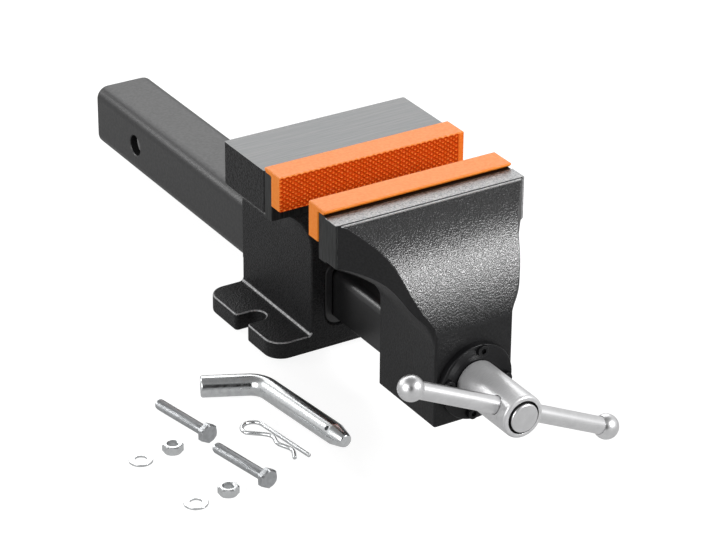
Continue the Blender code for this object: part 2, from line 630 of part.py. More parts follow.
def make_retainer_flange(material):
    """Round plate that holds the thrust collar in the casting, its front dished towards the hub."""
    bore, rim = STEM_BORE / 2, FLANGE_DIAMETER / 2
    profile = [(0, bore), (0, rim), (FLANGE_THICKNESS - CAP_EDGE, rim), (FLANGE_THICKNESS, rim - CAP_EDGE),
               (FLANGE_THICKNESS, rim - FLANGE_LAND), (FLANGE_HUB_THICKNESS, FLANGE_HUB_DIAMETER / 2),
               (FLANGE_HUB_THICKNESS, bore)]
    flange = new_object("retainer_flange", turned(profile, (0, FLANGE_BACK, AXIS_HEIGHT), (0, -1, 0)), material)
    head = FLANGE_SCREW_HEAD_DIAMETER / 2 + GAP
    shaft = FLANGE_SCREW_DIAMETER / 2 + GAP
    seat = FLANGE_SCREW_SEAT
    for turn in flange_screw_turns():
        hole = [(-OVERRUN, 0), (-OVERRUN, shaft), (seat, shaft), (seat, head),
                (FLANGE_THICKNESS + OVERRUN, head), (FLANGE_THICKNESS + OVERRUN, 0)]
        cut(flange, turned(hole, flange_screw_place(turn, FLANGE_BACK), (0, -1, 0), SMALL_SIDES))
    return flange


def make_flange_screw(name, turn, material):
    """Socket-head cap screw seated in the flange's counterbore."""
    seat = FLANGE_BACK - FLANGE_SCREW_SEAT - GAP
    x, _, z = flange_screw_place(turn, seat)
    head, shaft = FLANGE_SCREW_HEAD_DIAMETER / 2, FLANGE_SCREW_DIAMETER / 2
    tip = FLANGE_SCREW_LENGTH
    profile = [(-FLANGE_SCREW_HEAD_HEIGHT, 0), (-FLANGE_SCREW_HEAD_HEIGHT, head), (0, head), (0, shaft),
               (tip, shaft), (tip, 0)]
    screw = new_object(name, turned(profile, (x, seat, z), (0, 1, 0), SMALL_SIDES), material)
    start = (x, seat - FLANGE_SCREW_HEAD_HEIGHT - OVERRUN, z)
    return cut(screw, hexagon(FLANGE_SCREW_SOCKET, start, (0, 1, 0), OVERRUN + FLANGE_SCREW_SOCKET_DEPTH))


def bar_hole(target, diameter):
    reach = HEAD_DIAMETER
    return cut(target, turned(rod(diameter / 2, -reach, reach), BAR_PLACE, BAR_DIRECTION))


def make_spindle_screw(material):
    """Lead screw with its thrust collar, and the stem that carries the spindle head."""
    collar_back = BOSS_FRONT + COLLAR_RECESS_DEPTH - GAP
    back = collar_back - HEAD_END + STEM_PROUD
    thread = -(SCREW_REACH_BACK - collar_back)
    profile = [(thread, 0), (thread, SCREW_DIAMETER / 2 - SCREW_TIP_CHAMFER),
               (thread + SCREW_TIP_CHAMFER, SCREW_DIAMETER / 2), (0, SCREW_DIAMETER / 2),
               (0, COLLAR_DIAMETER / 2), (COLLAR_THICKNESS, COLLAR_DIAMETER / 2),
               (COLLAR_THICKNESS, STEM_DIAMETER / 2), (back - STEM_CHAMFER, STEM_DIAMETER / 2),
               (back, STEM_DIAMETER / 2 - STEM_CHAMFER), (back, 0)]
    screw = new_object("spindle_screw", turned(profile, (0, collar_back, AXIS_HEIGHT), (0, -1, 0)), material)
    return bar_hole(screw, BAR_DIAMETER + 2 * BAR_CLEARANCE)


def make_thrust_washer(material):
    back = FLANGE_BACK + GAP + WASHER_THICKNESS
    bore, rim = STEM_BORE / 2, COLLAR_DIAMETER / 2
    profile = [(0, bore), (0, rim), (WASHER_THICKNESS, rim), (WASHER_THICKNESS, bore)]
    return new_object("thrust_washer", turned(profile, (0, back, AXIS_HEIGHT), (0, -1, 0)), material)


def make_spindle_head(material):
    """Polished sleeve with a rounded nose and a wider mouth round the stem's end."""
    bore, rim, mouth = STEM_BORE / 2, HEAD_DIAMETER / 2, HEAD_MOUTH_DIAMETER / 2
    length = HEAD_SLEEVE_LENGTH
    nose = arc((length - HEAD_NOSE_ROUND, rim - HEAD_NOSE_ROUND), HEAD_NOSE_ROUND, 90, 0, CORNER_STEPS)
    profile = [(0, bore), (0, rim - HEAD_CHAMFER), (HEAD_CHAMFER, rim)] + nose
    profile += [(length, mouth), (length - HEAD_MOUTH_DEPTH, mouth), (length - HEAD_MOUTH_DEPTH, bore)]
    head = new_object("spindle_head", turned(profile, (0, HEAD_BACK, AXIS_HEIGHT), (0, -1, 0)), material)
    return bar_hole(head, BAR_DIAMETER + 2 * BAR_CLEARANCE)


def ball_flat():
    """How far the ball's flat seat is from its centre."""
    return math.sqrt((BALL_DIAMETER / 2) ** 2 - (BALL_FLAT_DIAMETER / 2) ** 2)


def make_handle_bar(material):
    """Round bar with a spigot at each end for the balls."""
    shoulder = BALL_SPACING / 2 - ball_flat() - GAP
    tip = shoulder + SPIGOT_LENGTH
    spigot, full = SPIGOT_DIAMETER / 2, BAR_DIAMETER / 2
    profile = [(-tip, 0), (-tip, spigot), (-shoulder, spigot), (-shoulder, full), (shoulder, full),
               (shoulder, spigot), (tip, spigot), (tip, 0)]
    return new_object("handle_bar", turned(profile, BAR_PLACE, BAR_DIRECTION, SMALL_SIDES), material)


def make_handle_ball(name, side, material):
    """Ball with a flat seat and a blind hole that takes the bar's spigot."""
    radius = BALL_DIAMETER / 2
    flat = ball_flat()
    hole = SPIGOT_DIAMETER / 2 + GAP
    depth = SPIGOT_LENGTH + GAP
    start = math.acos(-flat / radius)
    angles = [start * (1 - i / (2 * ARC_STEPS)) for i in range(2 * ARC_STEPS)]
    profile = [(-flat + depth, 0), (-flat + depth, hole), (-flat, hole)]
    profile += [(radius * math.cos(t), radius * math.sin(t)) for t in angles] + [(radius, 0)]
    place = BAR_PLACE + side * BAR_DIRECTION * BALL_SPACING / 2
    return new_object(name, turned(profile, place, side * BAR_DIRECTION, SMALL_SIDES), material)


def kit_place(left, forward):
    """A point on the ground, left of the base's side and forward of its front."""
    return Vector((-BASE_WIDTH / 2 - left, BASE_FRONT - forward))


def towards(turn):
    return Vector((math.cos(turn), math.sin(turn)))


def make_hitch_pin(material):
    """Bent round pin lying flat, with a cross hole near its tip."""
    radius = PIN_DIAMETER / 2
    bend_place = kit_place(PIN_LEFT, PIN_FORWARD)
    into, out = -towards(PIN_HEAD_TURN), towards(PIN_LONG_TURN)
    tip = bend_place + out * PIN_LONG_LEG
    half_turn = into.angle(out) / 2
    setback = PIN_BEND_RADIUS * math.tan(half_turn)
    start = bend_place - into * setback
    inward = (out - into).normalized()
    centre = bend_place + inward * PIN_BEND_RADIUS / math.cos(half_turn)
    bend = []
    for i in range(ARC_STEPS + 1):
        turn = Matrix.Rotation(-2 * half_turn * i / ARC_STEPS, 2)
        bend.append(centre + turn @ (start - centre))
    head_end = bend_place - into * (PIN_HEAD_LEG - PIN_TIP_CHAMFER)
    flat = [head_end] + bend + [tip - out * PIN_TIP_CHAMFER]
    points = [Vector((p.x, p.y, radius)) for p in flat]
    pin = new_object("hitch_pin", swept(points, radius, SMALL_SIDES, PIN_TIP_CHAMFER), material)
    hole = tip - out * PIN_CROSS_HOLE_FROM_TIP
    across = Vector((out.y, -out.x, 0))
    return cut(pin, turned(rod(PIN_CROSS_HOLE / 2, -PIN_DIAMETER, PIN_DIAMETER), (hole.x, hole.y, radius),
                           across + Vector((0, 0, 1)), SMALL_SIDES))


def smooth_curve(points, steps):
    """Catmull-Rom curve through the points, with so many steps between each two."""
    curve = []
    padded = [2 * points[0] - points[1]] + points + [2 * points[-1] - points[-2]]
    for before, start, stop, after in zip(padded, padded[1:], padded[2:], padded[3:]):
        for t in (i / steps for i in range(steps)):
            curve.append(0.5 * (2 * start + (stop - before) * t
                                + (2 * before - 5 * start + 4 * stop - after) * t ** 2
                                + (3 * start - before - 3 * stop + after) * t ** 3))
    return curve + [points[-1]]


def make_hitch_pin_clip(material):
    """Spring clip of round wire: a straight leg, a loop, and a leg that waves beside the straight one."""
    radius = CLIP_WIRE / 2
    loop = [Vector(p) for p in arc((0, 0), CLIP_LOOP_RADIUS, *CLIP_LOOP_ENDS, 2 * ARC_STEPS)]
    wave = [loop[-1]] + [Vector((CLIP_LEG * a, CLIP_LOOP_RADIUS * b)) for a, b in CLIP_WAVE_SHARES]
    path = [Vector((CLIP_LEG, CLIP_LOOP_RADIUS))] + loop[:-1] + smooth_curve(wave, ARC_STEPS // 2)
    turn = Matrix.Rotation(CLIP_TURN, 2)
    flat = [kit_place(CLIP_LEFT, CLIP_FORWARD) + turn @ p for p in path]
    points = [Vector((p.x, p.y, radius)) for p in flat]
    return new_object("hitch_pin_clip", swept(points, radius, CLIP_SIDES), material)


def make_mount_bolt(name, place, material):
    """Hex bolt lying on a flat of its head and on its tip, so that its shaft slopes a little."""
    rise = (BOLT_HEAD_FLATS - BOLT_DIAMETER) / 2
    flat = Vector((math.cos(BOLT_TURN), math.sin(BOLT_TURN), 0)) * BOLT_LENGTH
    direction = (flat + Vector((0, 0, rise))).normalized()
    tip = Vector((place.x, place.y, BOLT_DIAMETER / 2 + GAP))
    bolt = new_object(name, turned(rod(BOLT_DIAMETER / 2, 0, BOLT_LENGTH + BOLT_HEAD_HEIGHT / 2),
                                   tip, direction, SMALL_SIDES), material)
    radius = BOLT_HEAD_FLATS / math.sqrt(3)
    end = tip + direction * BOLT_LENGTH
    turn = direction.to_track_quat("Z", "Y").to_matrix().to_4x4()
    ring = [Vector((radius * math.cos(t), radius * math.sin(t), 0))
            for t in (2 * math.pi / HEXAGON * k for k in range(HEXAGON))]
    place_head = Matrix.Translation(end) @ turn
    rings = [[place_head @ (p + Vector((0, 0, h))) for p in ring] for h in (0, BOLT_HEAD_HEIGHT)]
    return add(bolt, loft(rings))


def make_mount_nut(name, place, material):
    nut = new_object(name, hexagon(BOLT_HEAD_FLATS, (place.x, place.y, 0), (0, 0, 1), NUT_HEIGHT), material)
    hole = rod(BOLT_DIAMETER / 2, -OVERRUN, NUT_HEIGHT + OVERRUN)
    return cut(nut, turned(hole, (place.x, place.y, 0), (0, 0, 1), SMALL_SIDES))


def make_mount_washer(name, place, material):
    inner, outer, high = WASHER_BORE / 2, WASHER_DIAMETER / 2, KIT_WASHER_THICKNESS
    profile = [(0, inner), (0, outer), (high, outer), (high, inner)]
    return new_object(name, turned(profile, (place.x, place.y, 0), (0, 0, 1), SMALL_SIDES), material)


def make_jaw_set(prefix, plate_front, cap_face, direction, steel, screws, orange, magnet):
    """Jaw plate, its two screws, the cap and its two magnets; direction points from cap to casting."""
    make_jaw_plate(prefix + "_jaw_plate", plate_front, direction, steel)
    face = plate_front if direction > 0 else plate_front + PLATE_THICKNESS
    make_jaw_cap(prefix + "_jaw_cap", cap_face, direction, orange)
    for side, sign in (("left", -1), ("right", 1)):
        make_plate_screw(f"{prefix}_jaw_screw_{side}", sign * PLATE_SCREW_SPACING / 2, face, direction, screws)
        make_magnet(f"{prefix}_cap_magnet_{side}", sign * MAGNET_SPACING / 2, cap_face, direction, magnet)


def build_vise():
    remove_everything()
    iron = make_material("black_coated_iron", "242424", 0.5, 0.0)
    tube = make_material("black_coated_tube", "3A3A3A", 0.4, 0.0)
    bright = make_material("polished_steel", "C8C8CA", 0.2, 1.0)
    steel = make_material("hardened_steel", "6E6E70", 0.35, 1.0)
    black_steel = make_material("black_oxide_steel", "1C1C1E", 0.4, 0.9)
    orange = make_material("orange_coating", "E8611C", 0.45, 0.0)
    bronze = make_material("bronze", "A9773F", 0.35, 1.0)
    zinc = make_material("zinc_plate", "B9BBBD", 0.3, 1.0)

    make_fixed_body(iron)
    make_hitch_shank(tube)
    make_lead_nut(bronze)
    make_nut_bolt(black_steel)
    make_jaw_set("fixed", FIXED_PLATE_FRONT, FIXED_CAP_FRONT, 1, steel, black_steel, orange, zinc)

    make_moving_jaw(iron)
    make_slide_beam(black_steel)
    moving_plate_front = MOVING_PLATE_BACK - PLATE_THICKNESS
    make_jaw_set("moving", moving_plate_front, MOVING_CAP_BACK, -1, steel, black_steel, orange, zinc)
    make_retainer_flange(black_steel)
    for side, turn in zip(("top", "right", "bottom", "left"), flange_screw_turns()):
        make_flange_screw("flange_screw_" + side, turn, black_steel)

    make_spindle_screw(bright)
    make_thrust_washer(bronze)
    make_spindle_head(bright)
    make_handle_bar(bright)
    make_handle_ball("handle_ball_left", -1, bright)
    make_handle_ball("handle_ball_right", 1, bright)

    make_hitch_pin(zinc)
    make_hitch_pin_clip(zinc)
    for k in (0, 1):
        bolt_place = kit_place(BOLT_LEFT - k * SET_SHIFT, BOLT_FORWARD + k * BOLT_SET_STEP)
        forward = NUT_FORWARD + k * NUT_SET_STEP
        make_mount_bolt(f"mount_bolt_{k + 1}", bolt_place, zinc)
        make_mount_nut(f"mount_nut_{k + 1}", kit_place(NUT_LEFT - k * SET_SHIFT, forward), zinc)
        make_mount_washer(f"mount_washer_{k + 1}", kit_place(WASHER_LEFT - k * SET_SHIFT, forward), zinc)


build_vise()
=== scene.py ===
import math

import bmesh
import bpy
import numpy as np
from mathutils import Matrix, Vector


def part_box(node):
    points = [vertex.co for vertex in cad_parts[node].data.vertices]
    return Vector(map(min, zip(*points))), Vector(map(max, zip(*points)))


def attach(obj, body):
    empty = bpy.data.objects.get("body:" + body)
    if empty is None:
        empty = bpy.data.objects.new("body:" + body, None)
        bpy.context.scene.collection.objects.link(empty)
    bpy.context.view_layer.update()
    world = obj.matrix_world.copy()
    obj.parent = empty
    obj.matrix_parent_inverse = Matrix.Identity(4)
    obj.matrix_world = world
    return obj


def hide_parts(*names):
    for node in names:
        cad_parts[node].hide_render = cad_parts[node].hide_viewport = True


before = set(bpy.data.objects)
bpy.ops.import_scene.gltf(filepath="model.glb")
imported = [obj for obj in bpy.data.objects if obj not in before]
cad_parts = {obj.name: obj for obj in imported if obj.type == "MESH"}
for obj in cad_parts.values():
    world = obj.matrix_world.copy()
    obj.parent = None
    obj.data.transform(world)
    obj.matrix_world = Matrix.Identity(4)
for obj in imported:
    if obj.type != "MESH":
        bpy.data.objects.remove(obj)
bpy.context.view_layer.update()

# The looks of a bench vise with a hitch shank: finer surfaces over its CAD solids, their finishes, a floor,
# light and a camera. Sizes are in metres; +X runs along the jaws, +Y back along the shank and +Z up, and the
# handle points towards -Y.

MM = 0.001

# Sizes of the details, many of which the solids leave out
CAST_ROUND = 2 * MM             # rounded edges of the castings
CAST_END_ROUND = 1.6 * MM       # and of their flat ends, a little less than the corners' radius
HOUSING_FOOT = 3 * MM           # the housing's walls start this high, inside the base
FOOT_FILLET = 3.5 * MM          # where those walls meet the base
FILLET_SUNK = 0.02 * MM         # the fillet's foot lies this far below the base's top
DRAFT_LINE_HEIGHT = 34 * MM     # a faint step along the housing's side walls
DRAFT_STEP = 0.3 * MM
SWEEP_SHARE = 0.86              # share of the neck's height that the web behind the block takes up
TUNNEL_FLARE = 1.2 * MM         # chamfer of the tunnel's two mouths
MILL_ALLOWANCE = 3 * MM         # what the mill takes off the jaw block
MACHINED_EDGE = 0.8 * MM        # broken edges of machined faces
JAW_FOOT_ROUND = 3.5 * MM       # lower edge of the fixed jaw block
BOSS_ROUND = 1.8 * MM           # edges of the moving casting's boss
SHARP = 0.02 * MM               # what is left of a rounded corner when its outline is drawn in
SEAM_WIDTH = 1.7 * MM           # groove between the machined strip and the hood
SEAM_DEPTH = 1.4 * MM
BRIGHT_LAND = 1.3 * MM          # and the lip in front of it, given the ground finish as a painted highlight
HOOD_LAND = 4.6 * MM            # the hood falls away from here
STRIP_STEP = 1.7 * MM           # the strip's ends stand proud of the hood behind it
LEAST_WING = 4 * MM             # height of the wing where it runs out
PLATE_EDGE = 0.8 * MM           # broken edges of the steel jaw plates
PLATE_SCREW_SPACING = 90 * MM
PLATE_SCREW_DROP = 17.5 * MM    # from the jaw's top down to its screws
CAP_BODY = 12.4 * MM            # thickness of the caps in front of the plates, and of their lips above them
CAP_LIP = 3.7 * MM
CAP_EDGE = 0.7 * MM
LIP_TIP = 1.7 * MM              # the lips thin out to this at their tips
LIP_BEVEL = 2.4 * MM            # over this length
KNURL_PITCH = 4.7 * MM          # diamonds of the caps' gripping faces, across and up
KNURL_RISE = 3.55 * MM
KNURL_DEPTH = 1.2 * MM
KNURL_POWER = 0.8               # below 1 the diamonds are a little blunt
KNURL_LIT_SHARE = 0.36               # share of that depth at their points that is painted as a highlight
KNURL_STEP = 0.5 * MM           # grid of the gripping face
KNURL_MARGIN = 0.5 * MM         # plain rim round the knurl, and its wider plain end
KNURL_PLAIN_END = 4.2 * MM
KNURL_FADE = 0.6 * MM
SLIDE_WALL = 4 * MM
SLIDE_ROOF = 4.6 * MM
SLIDE_CORNER = 7 * MM
SHANK_WALL = 6.35 * MM
SHANK_CORNER = 10 * MM
SHANK_END_CHAMFER = 3 * MM
PIN_HOLE = 17 * MM
PIN_HOLE_FROM_END = 69 * MM
HEX_FLATS = 13 * MM             # across the flats of the loose bolts' heads and nuts
ROUND = 1.0                     # flats so far apart that a profile's point stays round
GAP = 0.3 * MM
OVERRUN = 6 * MM                # how far a cut or a hidden end runs on
FINE = 0.3 * MM                 # the smallest broken edge


# Shapes

def span(node):
    """Lowest and highest corner of a CAD node."""
    low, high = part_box(node)
    return np.array(low), np.array(high)


def unit(vectors):
    """Vectors divided by their lengths."""
    return vectors / np.linalg.norm(vectors, axis=-1, keepdims=True)


def heading(degrees):
    """The flat direction at an angle from +X."""
    return np.array((math.cos(math.radians(degrees)), math.sin(math.radians(degrees))))


def zigzag(value):
    """A triangle wave: 0 at whole numbers and 1 halfway between them."""
    return 1 - np.abs(2 * (value % 1) - 1)


def fade(value, edge):
    """A share that climbs evenly from 0 where the value is 0 to 1 at the edge."""
    return np.clip(value / edge, 0, 1)


def edge_shares(steps):
    """An edge rounded over a quarter turn t: 1 - sin t is how far it is drawn in, 1 - cos t how far along."""
    t = np.linspace(0, math.pi / 2, steps + 1)
    return 1 - np.sin(t), 1 - np.cos(t)


def rounded(corners, radii, steps=6):
    """Outlines with rounded corners.

    A corner's arc starts and ends radius / tan(half its angle) along its sides. Its points are the start arm
    and the end arm, weighted by the sines of the angle left and the angle turned, about the arc's centre."""
    corner = np.asarray(corners, float)
    radii = np.broadcast_to(np.asarray(radii, float), corner.shape[:-1])
    radius = radii[..., None]
    back = unit(np.roll(corner, 1, axis=-2) - corner)
    ahead = unit(np.roll(corner, -1, axis=-2) - corner)
    half = np.arccos(np.clip((back * ahead).sum(-1, keepdims=True), -1, 1)) / 2
    with np.errstate(invalid="ignore", divide="ignore"):
        centre = corner + np.nan_to_num(unit(back + ahead)) * radius / np.sin(half)
        setback = radius / np.tan(half)
        start = (corner + back * setback - centre)[..., None, :]
        stop = (corner + ahead * setback - centre)[..., None, :]
        turn = (math.pi - 2 * half)[..., None, :]
        t = np.linspace(0, 1, steps + 1)[:, None]
        arms = (np.sin((1 - t) * turn) * start + np.sin(t * turn) * stop) / np.sin(turn)
    points = centre[..., None, :] + np.nan_to_num(arms)
    keep = np.ones((corner.shape[-2], steps + 1), bool)
    keep[radii.reshape(-1, corner.shape[-2]).max(0) == 0, 1:] = False
    return points.reshape(corner.shape[:-2] + (-1, 2))[..., keep.ravel(), :]


def arc(centre, radius, start, stop, steps):
    """Points centre + radius * (cos, sin) for angles in degrees from start to stop."""
    angle = np.radians(np.linspace(start, stop, steps + 1))
    return np.asarray(centre) + radius * np.stack((np.cos(angle), np.sin(angle)), -1)


def both_sides(right):
    """A closed outline from its right half, listed from bottom to top; stacks of outlines work too."""
    right = np.asarray(right, float)
    return np.concatenate((right, right[..., ::-1, :] * (-1, 1)), axis=-2)


def area(outline):
    """Twice an outline's area as a sum of cross products, above 0 where its inside is on its left."""
    x, y = outline.T
    return (x * np.roll(y, -1) - np.roll(x, -1) * y).sum()


def anticlockwise(outline):
    """An outline without doubled points, turned so that its inside is on its left."""
    outline = outline[np.linalg.norm(np.roll(outline, -1, 0) - outline, axis=1) > 1e-7]
    return outline if area(outline) > 0 else outline[::-1]


def inset(outline, depth):
    """Outlines drawn in: a point moves by depth times the sum of its side normals over one plus their
    product."""
    side = np.roll(outline, -1, axis=-2) - outline
    normal = unit(np.stack((-side[..., 1], side[..., 0]), -1))
    before = np.roll(normal, 1, axis=-2)
    return outline + depth * (normal + before) / (1 + (normal * before).sum(-1, keepdims=True))


def placed(rings, along, axis):
    """Flat rings put at their places along an axis: 0, 1 or 2 for x, y or z."""
    return np.insert(rings, axis, np.broadcast_to(np.asarray(along)[:, None], rings.shape[:2]), axis=2)


def extruded(outline, low, high, axis, edge=0.0, steps=4):
    """Rings of an outline from low to high, drawn in at both ends over an edge of that radius."""
    outline = anticlockwise(np.asarray(outline, float))
    drawn, along = edge_shares(steps if edge else 0)
    depth, along = edge * drawn, edge * along
    depth = np.concatenate((depth, depth[::-1]))[:, None, None]
    return placed(inset(outline[None], depth), np.concatenate((low + along, high - along[::-1])), axis)


def hexagon_reach(flats, angle):
    """How far a hexagon reaches: half its flats over the cosine of the angle to the nearest flat."""
    return flats / 2 / np.cos((angle + math.pi / 6) % (math.pi / 3) - math.pi / 6)


def about_axis(along, reach, angle, place, direction):
    """Points along an axis at a reach from it: place + along * axis + reach * (cos * side + sin * up)."""
    axis = unit(np.asarray(direction, float))
    side = np.cross(axis, (0.0, 0.0, 1.0))
    side = unit(side) if np.linalg.norm(side) > 1e-6 else np.array((1.0, 0.0, 0.0))
    up = np.cross(side, axis)
    ring = np.cos(angle)[:, None] * side + np.sin(angle)[:, None] * up
    return np.asarray(place) + along[..., None] * axis + reach[..., None] * ring


def turned(profile, place, direction, sides=72, flats=None):
    """A profile of (distance along, radius) turned about an axis. Flats, one for each point, cut the radius
    down to a hexagon's reach, which leaves the curved corners of a chamfered nut."""
    along, radius = np.asarray(profile, float).T
    angle = np.linspace(0, 2 * math.pi, sides, endpoint=False)
    reach = np.broadcast_to(radius[:, None], (len(along), sides))
    if flats is not None:
        reach = np.minimum(reach, hexagon_reach(np.asarray(flats, float)[:, None], angle))
    return about_axis(along[:, None] + 0 * reach, reach, angle, place, direction)


def threaded(start, stop, major, pitch, depth, place, direction, sides=24, per_turn=6):
    """A thread: the radius falls from major by depth where a triangle wave of (distance / pitch - angle /
    full turn) is low, and the thread runs out over one pitch at both ends."""
    along = np.linspace(start, stop, int((stop - start) / pitch * per_turn) + 1)
    angle = np.linspace(0, 2 * math.pi, sides, endpoint=False)
    crest = zigzag(along[:, None] / pitch - angle / (2 * math.pi))
    taper = np.minimum(1, np.minimum(along - start, stop - along) / pitch)[:, None]
    reach = major - depth * (1 - taper * crest)
    return about_axis(along[:, None] + 0 * crest, reach, angle, place, direction)


def closed_profile(corners, radii, steps=5):
    """A profile in millimetres with rounded corners."""
    return rounded(np.array(corners) * MM, np.array(radii) * MM, steps)


def rod(radius, reach):
    """Profile of a plain round rod that reaches as far on both sides of its place."""
    return [(-reach, 0), (-reach, radius), (reach, radius), (reach, 0)]


def swept(path, radius, sides=28):
    """A round bar on a flat path: at each point a ring spanned by the vertical and the path's sideways
    direction."""
    along = unit(np.gradient(path, axis=0))
    sideways = np.stack((-along[:, 1], along[:, 0], 0 * along[:, 0]), -1)[:, None]
    angle = np.linspace(0, 2 * math.pi, sides, endpoint=False)[None, :, None]
    ring = np.cos(angle) * sideways + np.sin(angle) * np.array((0, 0, 1.0))
    return path[:, None] + radius[:, None, None] * ring


def skin(name, grid, joined=False):
    """An object whose faces join neighbouring rings of a grid of points. The end rings are filled, or joined
    to each other."""
    rings, count = grid.shape[:2]
    index = np.arange(rings * count).reshape(rings, count)
    beside = np.roll(index, -1, axis=1)
    quads = np.stack((index, beside, np.roll(beside, -1, axis=0), np.roll(index, -1, axis=0)), axis=-1)
    faces = quads[:rings if joined else -1].reshape(-1, 4).tolist()
    if not joined:
        faces += [index[0].tolist(), index[-1].tolist()]
    mesh = bpy.data.meshes.new(name)
    mesh.from_pydata(grid.reshape(-1, 3).tolist(), [], faces)
    shape = bmesh.new()
    shape.from_mesh(mesh)
    bmesh.ops.remove_doubles(shape, verts=shape.verts, dist=1e-6)
    bmesh.ops.recalc_face_normals(shape, faces=shape.faces)
    shape.to_mesh(mesh)
    shape.free()
    thing = bpy.data.objects.new(name, mesh)
    bpy.context.scene.collection.objects.link(thing)
    return thing


def combine(thing, tool, operation="DIFFERENCE"):
    """Cut a tool out of an object, or add it, and keep the result as the object's mesh."""
    step = thing.modifiers.new("combine", "BOOLEAN")
    step.operation, step.object, step.solver = operation, tool, "EXACT"
    bpy.context.view_layer.update()
    made = bpy.data.meshes.new_from_object(thing.evaluated_get(bpy.context.evaluated_depsgraph_get()))
    thing.modifiers.clear()
    thing.data = made
    bpy.data.objects.remove(tool)


def face_facts(thing):
    """Centres and normals of an object's faces."""
    faces = thing.data.polygons
    centres, normals = np.empty(len(faces) * 3), np.empty(len(faces) * 3)
    faces.foreach_get("center", centres)
    faces.foreach_get("normal", normals)
    return centres.reshape(-1, 3), normals.reshape(-1, 3)


def finished(thing, finishes, chosen):
    """Give each face the finish whose number is chosen for it."""
    thing.data.materials.clear()
    for finish in finishes:
        thing.data.materials.append(finish)
    thing.data.polygons.foreach_set("material_index", chosen.astype(np.int32))


def dressed(thing, body, finish, slot, *nodes):
    """Complete a piece: its finish, smooth curves beside flat faces, its body and the CAD nodes it stands
    for."""
    mesh = thing.data
    if not mesh.materials:
        mesh.materials.append(finish)
    mesh.shade_smooth()
    mesh.set_sharp_from_angle(angle=math.radians(32))
    step = thing.modifiers.new("flat faces stay flat", "WEIGHTED_NORMAL")
    step.keep_sharp = True
    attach(thing, body)
    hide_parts(*nodes)


# Finishes

def linear(colour):
    """An sRGB hex colour as linear red, green, blue and alpha."""
    channels = [int(colour[i:i + 2], 16) / 255 for i in (0, 2, 4)]
    return [c / 12.92 if c <= 0.04045 else ((c + 0.055) / 1.055) ** 2.4 for c in channels] + [1]


def add_node(tree, kind, values=None, links=None, **settings):
    """Add one node with its settings, the values of its unlinked sockets and the links into it."""
    node = tree.nodes.new(kind)
    for key, value in settings.items():
        setattr(node, key, value)
    for key, value in (values or {}).items():
        node.inputs[key].default_value = value
    for key, source in (links or {}).items():
        tree.links.new(source, node.inputs[key])
    return node


def make_finish(name, colour, roughness, grain, bump, tones, spread, metallic=0.0, gloss=0.5,
                stretch=(1, 1, 1), detail=2.0):
    """A finish of one colour and roughness, over which lies noise with features of a real grain size: as
    bumps of a real height, between two tones, and with the roughness spread between two values. A stretch
    below 1 draws the grain out along that axis."""
    material = bpy.data.materials.new(name)
    material.use_nodes = True
    tree = material.node_tree
    shader = tree.nodes["Principled BSDF"]
    plain = {"Base Color": linear(colour), "Roughness": roughness, "Metallic": metallic,
             "Specular IOR Level": gloss}
    for key, value in plain.items():
        shader.inputs[key].default_value = value
    place = add_node(tree, "ShaderNodeTexCoord").outputs["Object"]
    drawn = add_node(tree, "ShaderNodeMapping", {"Scale": stretch}, {"Vector": place}).outputs[0]
    noise = add_node(tree, "ShaderNodeTexNoise", {"Scale": 1 / grain, "Detail": detail}, {"Vector": drawn})
    level = add_node(tree, "ShaderNodeMapRange", {"From Min": 0.35, "From Max": 0.65},
                     {"Value": noise.outputs[0]}).outputs[0]
    if bump:
        raised = add_node(tree, "ShaderNodeBump", {"Distance": bump}, {"Height": level}).outputs[0]
        tree.links.new(raised, shader.inputs["Normal"])
    between = {6: linear(tones[0]), 7: linear(tones[1])}
    tone = add_node(tree, "ShaderNodeMix", between, {0: level}, data_type="RGBA").outputs[2]
    tree.links.new(tone, shader.inputs["Base Color"])
    between = {"To Min": spread[0], "To Max": spread[1]}
    blur = add_node(tree, "ShaderNodeMapRange", between, {"Value": level}).outputs[0]
    tree.links.new(blur, shader.inputs["Roughness"])
    return material


def dull(material, low, high, gloss):
    """Let a coat's gloss change from one level to another between two heights, as where less was baked on."""
    tree = material.node_tree
    place = add_node(tree, "ShaderNodeTexCoord").outputs["Object"]
    height = add_node(tree, "ShaderNodeSeparateXYZ", None, {0: place}).outputs["Z"]
    between = {"From Min": low, "From Max": high, "To Min": gloss[0], "To Max": gloss[1]}
    level = add_node(tree, "ShaderNodeMapRange", between, {"Value": height}, interpolation_type="SMOOTHSTEP")
    tree.links.new(level.outputs[0], tree.nodes["Principled BSDF"].inputs["Specular IOR Level"])


# Baked hammer coat on the moving jaw's hood: 1 mm grains that break the light into bright specks on
# near-black, duller low down, where the hood dies away into the dark boss
hammer_coat = make_finish("hammered_black_coat", "1A1A1A", 0.24, 1.1 * MM, 0.13 * MM, ("060606", "343435"),
                          (0.28, 0.18))
dull(hammer_coat, 86 * MM, 112 * MM, (0.2, 0.85))

# The same coat on the fixed casting's sand-cast sides: finer, flatter grains with a duller glint
cast_coat = make_finish("black_coat_on_sand_cast_iron", "181819", 0.45, 1.3 * MM, 0.2 * MM,
                        ("0F0F10", "242425"), (0.52, 0.38), gloss=0.2, detail=1.5)

# And on the boss and the wings' undersides: almost smooth satin black
calm_coat = make_finish("smooth_black_coat", "1A1A1B", 0.45, 1.6 * MM, 0.05 * MM, ("171718", "202021"),
                        (0.48, 0.42), gloss=0.26, detail=1.5)

# Milled top of the fixed casting: long cutter lines along the jaw make pale grey streaks
milled_iron = make_finish("milled_cast_iron", "808080", 0.42, 0.9 * MM, 0.012 * MM, ("727475", "8C8C8C"),
                          (0.44, 0.56), metallic=1.0, stretch=(0.03, 1, 1), detail=3.0)
